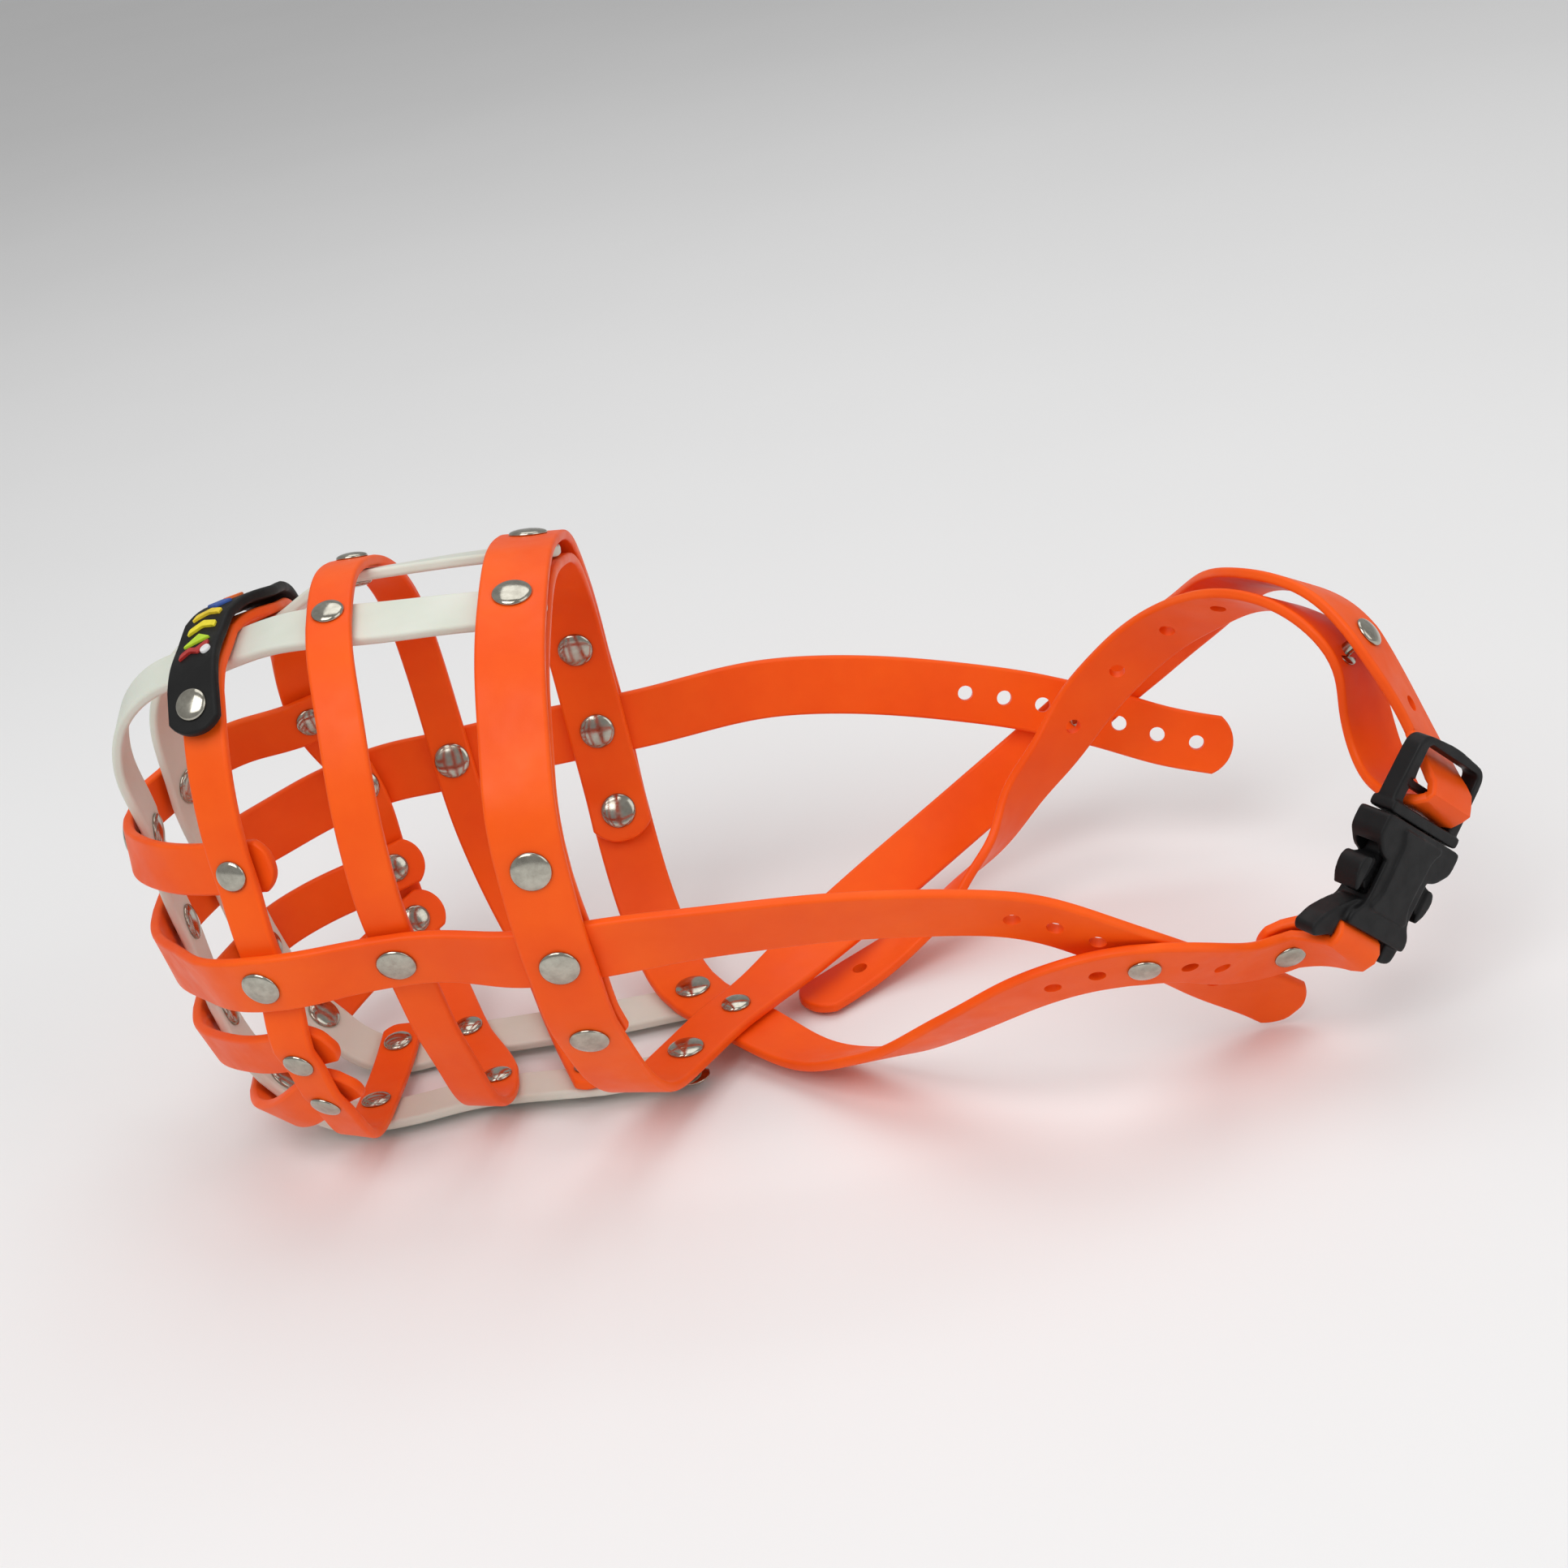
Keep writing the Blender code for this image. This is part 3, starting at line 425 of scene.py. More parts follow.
def skin(bm, loops):
    """Faces between rings of vertices, with both ends closed."""
    count = len(loops[0])
    for a, b in zip(loops, loops[1:]):
        for i in range(count):
            j = (i + 1) % count
            bm.faces.new((a[i], a[j], b[j], b[i]))
    bm.faces.new(loops[0][::-1])
    bm.faces.new(loops[-1])
    bmesh.ops.recalc_face_normals(bm, faces=bm.faces)


def strap_mesh(name, rings):
    """A closed strap with rounded edges through the rings."""
    bm = bmesh.new()
    loops = []
    for point, tangent, normal, half, thick in rings:
        across = tangent.cross(normal).normalized()
        spots = [point + across * x + normal * y for x, y in section(half, thick)]
        loops.append([bm.verts.new(spot * MM) for spot in spots])
    skin(bm, loops)
    return mesh_from(bm, name)


def smoothed(points, keep):
    """Vectors relaxed towards their neighbours, with the kept indices fixed."""
    for _ in range(RELAX_ROUNDS):
        moved = list(points)
        for i in range(1, len(points) - 1):
            if i not in keep:
                moved[i] = points[i] * 0.5 + (points[i - 1] + points[i + 1]) * 0.25
        points = moved
    return points


def fine_route(stops):
    """Close stations along the route, relaxed so that the bends run smoothly."""
    coarse = stations(stops)
    fixed = set()
    for stop in stops:
        if stop.flat or stop.tangent is not None:
            for i, station in enumerate(coarse):
                if (station[0] - stop.point).length < max(KEEP_LEAST, KEEP_SHARE * stop.flat):
                    fixed.add(i)
    points = smoothed([s[0] for s in coarse], fixed)
    normals = smoothed([s[2] for s in coarse], set())
    route = []
    for i, point in enumerate(points):
        before = points[max(0, i - 1)]
        after = points[min(len(points) - 1, i + 1)]
        tangent = (after - before).normalized()
        if i in (0, len(points) - 1):
            tangent = coarse[i][1]
        normal = normals[i] - tangent * normals[i].dot(tangent)
        route.append((point, tangent, normal.normalized()))
    return route


# ---- objects


def add_object(name, mesh, look=None):
    """An object in the scene, with its look."""
    item = bpy.data.objects.new(name, mesh)
    bpy.context.scene.collection.objects.link(item)
    if look:
        mesh.materials.append(look)
    return item


def settle(item):
    """Turns an object's modifiers into its own mesh, and clears its cutters away."""
    cutters = [m.object for m in item.modifiers if m.type == "BOOLEAN"]
    graph = bpy.context.evaluated_depsgraph_get()
    made = bpy.data.meshes.new_from_object(item.evaluated_get(graph))
    item.modifiers.clear()
    item.data = made
    for cutter in cutters:
        bpy.data.objects.remove(cutter, do_unlink=True)


def shade(item, angle=STRAP_SHARP_ANGLE):
    """Smooth shading with crisp edges where the faces turn by more than the angle."""
    mesh = item.data
    mesh.shade_smooth()
    mesh.set_sharp_from_angle(angle=math.radians(angle))
    weight = item.modifiers.new("weighted", "WEIGHTED_NORMAL")
    weight.keep_sharp = True
    weight.mode = "FACE_AREA"


def publish(item, node, body):
    """Puts a finished piece on its body, in place of its CAD node."""
    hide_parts(node)
    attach(item, body)


def frame_matrix(point, normal):
    """A placing matrix in metres whose local Z is the normal."""
    turn = Vector(normal).to_track_quat("Z", "Y").to_matrix().to_4x4()
    return Matrix.Translation(Vector(point) * MM) @ turn


def cut_with(item, cutter):
    """Subtracts a cutter."""
    cutter.hide_render = True
    cutter.display_type = "WIRE"
    modifier = item.modifiers.new("cut", "BOOLEAN")
    modifier.operation = "DIFFERENCE"
    modifier.solver = "EXACT"
    modifier.object = cutter


def drill(item, holes):
    """Cuts holes (point, normal, radius, depth) through a strap."""
    bm = bmesh.new()
    for point, normal, radius, depth in holes:
        bmesh.ops.create_cone(
            bm, cap_ends=True, segments=HOLE_SEGMENTS, radius1=radius * MM, radius2=radius * MM,
            depth=depth * MM, matrix=frame_matrix(point, normal))
    name = item.name + "_holes"
    cut_with(item, add_object(name, mesh_from(bm, name)))


def point_at(route, start, distance):
    """Point and normal on the route, a distance along it from a start point."""
    points = [s[0] for s in route]
    nearest = min(range(len(points)), key=lambda i: (points[i] - start).length)
    step = 1 if distance >= 0 else -1
    left = abs(distance)
    i = nearest
    while 0 <= i + step < len(points):
        run = (points[i + step] - points[i]).length
        if left <= run:
            u = left / run
            normal = route[i][2].lerp(route[i + step][2], u)
            return points[i].lerp(points[i + step], u), normal.normalized()
        left -= run
        i += step
    return points[i], route[i][2]


def strap(node, stops, width, look=None, reach=(END_REACH, END_REACH), punched=(), body="muzzle"):
    """One strap with its rivet holes and punched holes (stop index, distances).

    Without a body it is left for the caller to place in the frame.
    """
    look = look or ORANGE
    route = fine_route(stops)
    name = "look_" + node
    item = add_object(name, strap_mesh(name, strap_rings(route, width, reach)), look)
    holes = [(s.point, s.normal, SHANK_HOLE_RADIUS, RIVET_HOLE_DEPTH) for s in stops if s.riveted]
    for index, distances in punched:
        for distance in distances:
            point, normal = point_at(route, stops[index].point, distance)
            holes.append((point, normal, PUNCHED_RADIUS, PUNCHED_HOLE_DEPTH))
    if holes:
        drill(item, holes)
        settle(item)
    shade(item)
    if body:
        publish(item, node, body)
    return item


def lathe(name, profile, segments, place, look):
    """A turned body from (radius, height) pairs; the first and last radius are zero."""
    bm = bmesh.new()
    bottom = bm.verts.new((0, 0, profile[0][1] * MM))
    rings = []
    for radius, height in profile[1:-1]:
        ring = []
        for k in range(segments):
            angle = 2 * math.pi * k / segments
            spot = (radius * math.cos(angle), radius * math.sin(angle), height)
            ring.append(bm.verts.new(Vector(spot) * MM))
        rings.append(ring)
    top = bm.verts.new((0, 0, profile[-1][1] * MM))
    for k in range(segments):
        j = (k + 1) % segments
        bm.faces.new((bottom, rings[0][j], rings[0][k]))
        bm.faces.new((top, rings[-1][k], rings[-1][j]))
        for low, high in zip(rings, rings[1:]):
            bm.faces.new((low[k], low[j], high[j], high[k]))
    bmesh.ops.recalc_face_normals(bm, faces=bm.faces)
    bm.transform(place)
    return add_object(name, mesh_from(bm, name), look)


def dome(cap, base, height, sign):
    """Profile of a domed rivet head from its edge to its crown."""
    points = [(cap - RIM_CUT, base), (cap, base + sign * RIM_START), (cap, base + sign * RIM_RISE)]
    for k in range(1, DOME_STEPS):
        angle = math.pi / 2 * k / DOME_STEPS
        radius = (cap - DOME_INSET) * math.cos(angle)
        rise = DOME_BASE + (height - DOME_BASE) * math.sin(angle)
        points.append((radius, base + sign * rise))
    return points


def rivet(node, crossing, inner, outer, cap, body="muzzle"):
    """A double-cap rivet through the layers inner to outer of a crossing."""
    point, normal = CROSSINGS[crossing]
    low = inner * PITCH - THICKNESS / 2 - HEAD_GAP
    high = outer * PITCH + THICKNESS / 2 + HEAD_GAP
    under = dome(cap, low, HEAD_HEIGHT, -1)
    over = dome(cap, high, HEAD_HEIGHT, 1)
    profile = [(0, low - HEAD_HEIGHT)] + under[::-1] + [(SHANK_RADIUS, low), (SHANK_RADIUS, high)]
    profile += over + [(0, high + HEAD_HEIGHT)]
    place = frame_matrix(Vector(point) + PLACE, Vector(normal).normalized())
    item = lathe("look_" + node, profile, RIVET_SEGMENTS, place, NICKEL)
    item.data.shade_smooth()
    item.data.set_sharp_from_angle(angle=math.radians(HEAD_SHARP_ANGLE))
    publish(item, node, body)


# ---- buckle


def both_sides(half_outline):
    """A closed outline from its +w half, given from one end to the other."""
    return half_outline + [(a, -w) for a, w in reversed(half_outline)]


def rectangle(a0, a1, half_width):
    """A rectangular outline, centred across the buckle."""
    return [(a0, -half_width), (a1, -half_width), (a1, half_width), (a0, half_width)]


def block(a0, a1, w0, w1):
    """A rectangular outline off the buckle's middle."""
    return [(a0, w0), (a0, w1), (a1, w1), (a1, w0)]


def rounded(outline, radius, steps=CORNER_STEPS):
    """The outline with every corner turned into an arc that starts a radius away from it."""
    result = []
    count = len(outline)
    for i, corner in enumerate(outline):
        here = Vector(corner)
        before = Vector(outline[i - 1]) - here
        after = Vector(outline[(i + 1) % count]) - here
        cut = min(radius, 0.45 * before.length, 0.45 * after.length)
        first, last = here + before.normalized() * cut, here + after.normalized() * cut
        for k in range(steps + 1):
            u = k / steps
            result.append(tuple(first * (1 - u) ** 2 + here * 2 * u * (1 - u) + last * u * u))
    return result


def slab_into(bm, outline, low, high):
    """Adds an outline extruded from low to high, in the buckle's own axes."""
    base = [bm.verts.new(Vector((a, w, low)) * MM) for a, w in outline]
    top = [bm.verts.new(Vector((a, w, high)) * MM) for a, w in outline]
    faces = [bm.faces.new(base[::-1]), bm.faces.new(top)]
    for i in range(len(outline)):
        j = (i + 1) % len(outline)
        faces.append(bm.faces.new((base[i], base[j], top[j], top[i])))
    bmesh.ops.recalc_face_normals(bm, faces=faces)


def slabs_mesh(name, slabs):
    """A mesh of overlapping slabs (outline, low, high)."""
    bm = bmesh.new()
    for outline, low, high in slabs:
        slab_into(bm, outline, low, high)
    return mesh_from(bm, name)


def fuse(item):
    """Makes one skin of an object's overlapping shells."""
    join = item.modifiers.new("join", "REMESH")
    join.mode = "VOXEL"
    join.voxel_size = MOULD_VOXEL * MM


def moulded(node, slabs, cuts, body):
    """A moulded piece: overlapping slabs joined, cut, and softened on every edge."""
    item = add_object("look_" + node, slabs_mesh("look_" + node, slabs))
    fuse(item)
    if cuts:
        cutter = add_object("cutter_" + node, slabs_mesh("cutter_" + node, cuts))
        fuse(cutter)
        cut_with(item, cutter)
        fuse(item)
    soft = item.modifiers.new("soft", "SMOOTH")
    soft.factor = 0.5
    soft.iterations = MOULD_ROUNDS
    thin = item.modifiers.new("thin", "DECIMATE")
    thin.ratio = MOULD_KEEP
    settle(item)
    origin, a, w, n = buckle_place()
    turn = Matrix((a, w, n)).transposed().to_4x4()
    item.data.transform(Matrix.Translation(origin * MM) @ turn)
    item.data.shade_smooth()
    item.data.materials.clear()
    item.data.materials.append(BLACK)
    publish(item, node, body)


# ---- looks


class Look:
    """A small builder for one procedural material."""

    def __init__(self, name):
        self.material = bpy.data.materials.new("look_" + name)
        self.material.use_nodes = True
        self.tree = self.material.node_tree
        self.shader = self.tree.nodes["Principled BSDF"]
        self.place = self.tree.nodes.new("ShaderNodeTexCoord").outputs["Object"]
        self.height = None

    def noise(self, scale, detail=3.0, rough=0.5, stretch=None):
        """Noise over the object's own coordinates."""
        node = self.tree.nodes.new("ShaderNodeTexNoise")
        node.inputs["Scale"].default_value = scale
        node.inputs["Detail"].default_value = detail
        node.inputs["Roughness"].default_value = rough
        source = self.place
        if stretch:
            mapping = self.tree.nodes.new("ShaderNodeMapping")
            mapping.inputs["Scale"].default_value = stretch
            self.tree.links.new(source, mapping.inputs["Vector"])
            source = mapping.outputs["Vector"]
        self.tree.links.new(source, node.inputs["Vector"])
        return node.outputs["Fac"]

    def ramp(self, source, low, high, first, last):
        """Maps a value range onto another one."""
        node = self.tree.nodes.new("ShaderNodeMapRange")
        node.inputs["From Min"].default_value = low
        node.inputs["From Max"].default_value = high
        node.inputs["To Min"].default_value = first
        node.inputs["To Max"].default_value = last
        self.tree.links.new(source, node.inputs["Value"])
        return node.outputs["Result"]

    def colours(self, factor, first, last):
        """The base colour, mixed from two by a factor."""
        node = self.tree.nodes.new("ShaderNodeMix")
        node.data_type = "RGBA"
        node.inputs["A"].default_value = (*first, 1.0)
        node.inputs["B"].default_value = (*last, 1.0)
        self.tree.links.new(factor, node.inputs["Factor"])
        self.tree.links.new(node.outputs["Result"], self.shader.inputs["Base Color"])

    def rough(self, factor, low, high):
        """Roughness that wanders between two values."""
        self.tree.links.new(self.ramp(factor, 0.3, 0.7, low, high), self.shader.inputs["Roughness"])

    def bump(self, source, strength, distance):
        """Adds one layer of relief, distance in metres."""
        node = self.tree.nodes.new("ShaderNodeBump")
        node.inputs["Strength"].default_value = strength
        node.inputs["Distance"].default_value = distance
        self.tree.links.new(source, node.inputs["Height"])
        if self.height:
            self.tree.links.new(self.height, node.inputs["Normal"])
        self.height = node.outputs["Normal"]
        self.tree.links.new(self.height, self.shader.inputs["Normal"])

    def set(self, **values):
        """Constant shader inputs; an underscore stands for a space."""
        for key, value in values.items():
            self.shader.inputs[key.replace("_", " ")].default_value = value


def coated_strap(name, deep, bright):
    """Plastic-coated webbing: fine grain, slight waves, a soft sheen."""
    look = Look(name)
    cloud = look.noise(38.0, 4.0, 0.55)
    look.colours(look.ramp(cloud, 0.35, 0.65, 0.0, 1.0), deep, bright)
    look.rough(look.noise(160.0, 4.0), 0.36, 0.52)
    look.bump(look.noise(260.0, 2.0), 0.35, 0.00012)
    look.bump(look.noise(2600.0, 3.0), 0.30, 0.00005)
    look.set(Specular_IOR_Level=0.2, Subsurface_Weight=0.08, Subsurface_Scale=0.0015)
    return look.material


def polished_nickel():
    """Nickel rivet heads with light smudges and fine scratches."""
    look = Look("nickel")
    smudge = look.noise(420.0, 4.0, 0.6)
    look.colours(look.ramp(smudge, 0.35, 0.7, 0.0, 1.0), (0.50, 0.48, 0.41), (0.34, 0.32, 0.27))
    look.rough(look.noise(700.0, 5.0, 0.65), 0.07, 0.22)
    look.bump(look.noise(900.0, 4.0, 0.7, (1.0, 1.0, 9.0)), 0.18, 0.00004)
    look.set(Metallic=1.0)
    return look.material


def moulded_plastic(name, deep, bright, low, high):
    """Moulded black plastic or rubber with a fine eroded texture."""
    look = Look(name)
    cloud = look.noise(70.0, 4.0, 0.6)
    look.colours(look.ramp(cloud, 0.35, 0.65, 0.0, 1.0), deep, bright)
    look.rough(look.noise(300.0, 4.0), low, high)
    look.bump(look.noise(420.0, 3.0), 0.25, 0.00008)
    look.bump(look.noise(3200.0, 2.0), 0.35, 0.00005)
    look.set(Specular_IOR_Level=0.25)
    return look.material


def badge_colour(name, colour):
    """Soft coloured rubber of a raised shape."""
    look = Look("badge_" + name)
    deep = tuple(c * 0.86 for c in colour)
    look.colours(look.ramp(look.noise(500.0), 0.35, 0.65, 0.0, 1.0), deep, colour)
    look.rough(look.noise(600.0), 0.42, 0.58)
    look.bump(look.noise(2400.0), 0.25, 0.00004)
    return look.material


ORANGE = coated_strap("orange_strap", (0.90, 0.092, 0.004), (0.97, 0.118, 0.006))
WHITE = coated_strap("white_strap", (0.66, 0.69, 0.60), (0.73, 0.75, 0.67))
NICKEL = polished_nickel()
BLACK = moulded_plastic("black_plastic", (0.004, 0.004, 0.0045), (0.007, 0.007, 0.0075), 0.42, 0.58)
RUBBER = moulded_plastic("black_rubber", (0.004, 0.004, 0.004), (0.006, 0.006, 0.006), 0.5, 0.65)


# ---- sub-parts


def white_straps():
    """Two nose-line straps that run over the bridge, round the nose and under the jaw."""
    fronts = {
        "left": [free((-138, -9, 123), (-0.5, -0.2, 0.84)),
                 free((-149.5, -6, 114), (-0.8, -0.15, 0.57)),
                 free((-154.5, -3.5, 99), (-0.98, -0.1, 0.2))],
        "right": [free((-130, 17, 123.5), (-0.5, 0.25, 0.83)),
                  free((-142.5, 20, 114.5), (-0.78, 0.3, 0.55)),
                  free((-150.5, 23, 100), (-0.92, 0.35, 0.2))],
    }
    under = {
        "left": free((-131.4, -10.5, 4.9), (-0.45, -0.1, -0.9)),
        "right": free((-128, 17.5, 5.3), (-0.45, 0.15, -0.9)),
    }
    for side in ("left", "right"):
        stops = [at("collar_top_" + side, -1), at("second_top_" + side, -1),
                 at("hoop_top_" + side, -1, riveted=False)]
        stops += fronts[side]
        for band in ("upper", "cheek", "lower", "chin"):
            stops.append(at(f"{band}_nose_{side}", -LOOSE))
        stops.append(under[side])
        for place in ("hoop_under_", "second_under_", "end_under_", "collar_under_"):
            stops.append(at(place + side, 0))
        if side == "left":
            stops[-1].point += WHITE_END_SHIFT
        strap("white_strap_" + side, stops, WHITE_WIDTH, WHITE, WHITE_REACH)


def hoop_strap():
    """One long strap wound twice round the snout as two hoops; gives its stations."""
    stops = [
        at("hoop_under_right", -1), at("hoop_under_left", -1),
        free((-118.8, -32, 11.5), (-0.3, -0.55, -0.78)),
        at("chin_hoop_left", 0), at("lower_hoop_left", 0), at("cheek_hoop_left", -LOOSE),
        at("upper_hoop_left", 0), free((-123.6, -38.8, 104.5), (-0.25, -0.93, 0.27)),
        at("patch_left", 0), at("hoop_top_left", 0, riveted=False),
        at("hoop_top_right", 0, riveted=False), at("patch_right", 0),
        free((-121.5, 40.3, 104), (-0.25, 0.93, 0.27)),
        at("upper_hoop_right", 0), at("cheek_hoop_right", -LOOSE),
        at("lower_hoop_right", 0), at("chin_hoop_right", 0),
        free((-105.5, 33, 12.5), (-0.3, 0.55, -0.78)),
        at("second_under_right", -1), at("second_under_left", -1),
        free((-89, -27, 11), (-0.2, -0.5, -0.84)),
        free((-90.2, -40.5, 36), (-0.15, -0.83, -0.54)),
        at("second_cheek_left", -1),
        free((-92.8, -49, 90), (0, -0.99, 0.1)), free((-92.6, -38, 117.5), (0.05, -0.77, 0.63)),
        at("second_top_left", 0), at("second_top_right", 0),
        free((-92.6, 38, 117.5), (0.05, 0.77, 0.63)), free((-92.8, 49, 90), (0, 0.99, 0.1)),
        at("second_cheek_right", -1),
        free((-88, 42.5, 33), (-0.15, 0.83, -0.54)), free((-80, 31, 12.5), (-0.2, 0.5, -0.84)),
        at("end_under_right", -1), at("end_under_left", -1),
    ]
    strap("hoop_strap", stops, HOOP_WIDTH)
    return fine_route(stops)


def front_bands():
    """Three short bands round the nose, held between the white straps and the first hoop."""
    sides = {
        "upper": (free((-144.5, -27, 85.3), (-0.72, -0.68, 0.1)),
                  free((-160.5, 11.5, 81.8), (-0.98, 0.18, 0.05)),
                  free((-141, 37.5, 84.8), (-0.65, 0.75, 0.08))),
        "lower": (free((-142, -26.5, 35.3), (-0.66, -0.68, -0.3)),
                  free((-156, 11.5, 31.5), (-0.94, 0.15, -0.28)),
                  free((-134, 37.5, 37.5), (-0.6, 0.72, -0.32))),
        "chin": (free((-133, -28.5, 17.5), (-0.52, -0.58, -0.62)),
                 free((-143.5, 6, 11.5), (-0.73, 0.03, -0.68)),
                 free((-126, 34, 19), (-0.5, 0.6, -0.62))),
    }
    names = {"upper": "nose_band_upper", "lower": "nose_band_lower", "chin": "chin_band"}
    for band, (left, middle, right) in sides.items():
        stops = [at(f"{band}_hoop_left", -LOOSE), left, at(f"{band}_nose_left", 0), middle,
                 at(f"{band}_nose_right", 0), right, at(f"{band}_hoop_right", -LOOSE)]
        strap(names[band], stops, BAND_WIDTH)


def cheek_strap():
    """One strap round the nose and both cheeks, with a punched tail on each side."""
    stops = [
        free((92.6, -34.2, 9.6), (-0.05, -0.95, -0.3)),
        free((78, -41, 22.6), (-0.05, -0.9, -0.42)),
        at("adjust_left", -1, flat=5.0),
        free((39.7, -57.3, 54.4), (-0.05, -0.88, -0.47)),
        free((11.2, -59.5, 61.1), (-0.04, -0.91, -0.42)),
        free((-22.6, -60.7, 64.4), (-0.05, -0.93, -0.36)),
        at("collar_cheek_left", -1), at("second_cheek_left", 0), at("cheek_hoop_left", 0),
        free((-146, -28, 59.2), (-0.7, -0.7, -0.18)),
        at("cheek_nose_left", 0), free((-158.5, 12, 56), (-0.98, 0.12, -0.12)),
        at("cheek_nose_right", 0), free((-137.5, 40, 59.6), (-0.62, 0.76, -0.17)),
        at("cheek_hoop_right", 0), at("second_cheek_right", 0), at("collar_cheek_right", -1),
        free((-9, 62, 63.5), (-0.03, 0.98, -0.2)), free((35, 63, 53), (-0.02, 0.95, -0.3)),
        at("adjust_right", -1, flat=9.5),
        free((84.2, 55.8, 34), (0, 0.96, -0.27)), free((93.7, 54.5, 31), (0, 0.97, -0.25)),
    ]
    strap("cheek_strap", stops, CHEEK_WIDTH, reach=CHEEK_REACH,
          punched=[(2, (-30, -19.5, 11, 20.5, 30)), (19, (-30, -20, -10, 10, 20, 30))])


def collar_liner():
    """The arch inside the collar, whose ends are riveted low on each side."""
    shoulder = mirror_free((-55.4, 43.7, 110.8), (0, 0.8, 0.59))
    stops = [
        at("collar_low_left", -LOOSE), at("collar_cheek_left", -2), at("collar_side_left", -1),
        shoulder[0],
        at("collar_top_left", -2), at("collar_top_right", -2),
        shoulder[1],
        at("collar_side_right", -1), at("collar_cheek_right", -2), at("collar_low_right", -LOOSE),
    ]
    strap("collar_liner", stops, COLLAR_WIDTH)


def socket_loop_stops():
    """The collar strap's end, wrapped round the socket's bar, from its tip to the main run."""
    bar = sum(SOCKET_BAR) / 2
    r = BAR_LOOP_RADIUS
    turn = []
    for angle in range(-40, 141, 30):
        c, s = math.cos(math.radians(angle)), math.sin(math.radians(angle))
        turn.append(flipped(buckle_stop(bar + r * c, r * s, angle + 90, BAR_LOOP_SHIFT)))
    inner = [at("socket_loop", -1, flip=-1, flat=4.5)]
    outer = [at("socket_loop", 0, flat=4.5)]
    return inner + turn + outer


def split_stop():
    """Where the collar strap ends and the arch strap starts, beyond the right adjusting screw."""
    heading = Vector((0.74, -0.2, 0.64)).normalized()
    return free((71.3, 67, 44.3), (0.2, 0.95, -0.15), heading)


def tail_split_stop():
    """Where the arch strap ends and the tail strap starts."""
    heading = Vector((-0.79, -0.36, -0.49)).normalized()
    return free((21.3, 27, 11.3), (0.5, -0.1, -0.8), heading)


def collar_strap():
    """The one strap that makes the collar and the near and far neck straps."""
    shoulder = mirror_free((-55.4, 46, 113), (0, 0.8, 0.59))
    bend = mirror_free((-50, 35.5, 13), (-0.15, 0.5, -0.86))
    stops = socket_loop_stops()
    adjust = len(stops)
    stops += [
        at("adjust_left", 0, flat=6.0),
        free((42.9, -57, 36.1), (-0.05, -0.82, -0.57)), free((25.7, -49.5, 26), (0, -0.72, -0.69)),
        free((5.5, -35.5, 12), (0, -0.5, -0.86)), free((-13, -18, 3.6), (-0.05, -0.2, -0.98)),
        at("throat", 0), at("collar_under_right", -1), bend[1],
        at("collar_low_right", 0), at("collar_cheek_right", 0), at("collar_side_right", 0),
        shoulder[1], at("collar_top_right", 0), at("collar_top_left", 0), shoulder[0],
        at("collar_side_left", 0), at("collar_cheek_left", 0), at("collar_low_left", 0),
        bend[0], at("collar_under_left", -LIFT), at("throat", -1),
        free((-12, 17, 12.7), (-0.15, 0.35, -0.93)), free((4.9, 34, 15.7), (-0.3, 0.6, -0.74)),
        free((24.4, 51, 20.3), (-0.3, 0.75, -0.6)), free((42.1, 60.5, 27.5), (-0.1, 0.9, -0.42)),
        at("adjust_right", 0.6, flat=5.0), split_stop(),
    ]
    strap("collar_strap", stops, COLLAR_WIDTH, reach=(LOOP_END_REACH, None),
          punched=[(adjust, (-19.5, -10, 10, 20))])


def arch_strap():
    """The strap over the nape: through the plug and back down as the start of the tail."""
    weave = [
        buckle_stop(20.0, -9.0, 127, -0.8), buckle_stop(13.3, -0.2, 128, -2.0),
        buckle_stop(11.0, 2.7, 138, WEAVE_SHIFT), buckle_stop(8.05, 4.1, 180, WEAVE_SHIFT),
        buckle_stop(6.2, 2.6, 225, WEAVE_SHIFT), buckle_stop(5.2, 0.0, 262, -1.6),
        buckle_stop(4.9, -3.5, 268, -0.8),
    ]
    weave = [flipped(stop) for stop in weave]
    climb = [
        split_stop(),
        free((84.9, 55, 59.4), (0.45, 0.88, 0.1)), free((95.7, 38, 74.5), (0.45, 0.75, 0.42)),
        free((106.8, 14, 89.9), (0.35, 0.4, 0.85)),
        at("plug_loop", 0, flat=4.0),
    ]
    descent = [
        free((126, -18, 49.8), (-0.5, 0.2, -0.85)), free((124.6, -10.5, 55.4), (-0.5, 0.6, -0.5)),
        free((123.4, -8.2, 66.8), (-0.61, 0.77, -0.16)), free((121.2, -8.2, 79.0), (-0.72, 0.35, -0.55)),
        free((104.5, 11.5, 86.3), (-0.35, -0.4, -0.85)), free((89.9, 29.5, 76.6), (-0.4, -0.7, -0.6)),
        free((80.8, 37, 68.8), (-0.3, -0.85, -0.4)), free((68.3, 41.5, 56.7), (-0.2, -0.93, -0.3)),
        free((50, 40, 37), (0.15, -0.85, -0.5)), free((34.3, 33.5, 20.2), (0.35, -0.5, -0.75)),
        tail_split_stop(),
    ]
    outer = len(climb) - 1
    # The rivet of the plug loop goes through the fourth stop of the descent
    inner = len(climb) + len(weave) + 3
    item = strap("arch_strap", climb + weave + descent, COLLAR_WIDTH, reach=(None, None), body=None,
                 punched=[(outer, (-19, 18)), (inner, (19, 38, 57, 76, 95))])
    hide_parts("arch_strap")
    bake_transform(item)


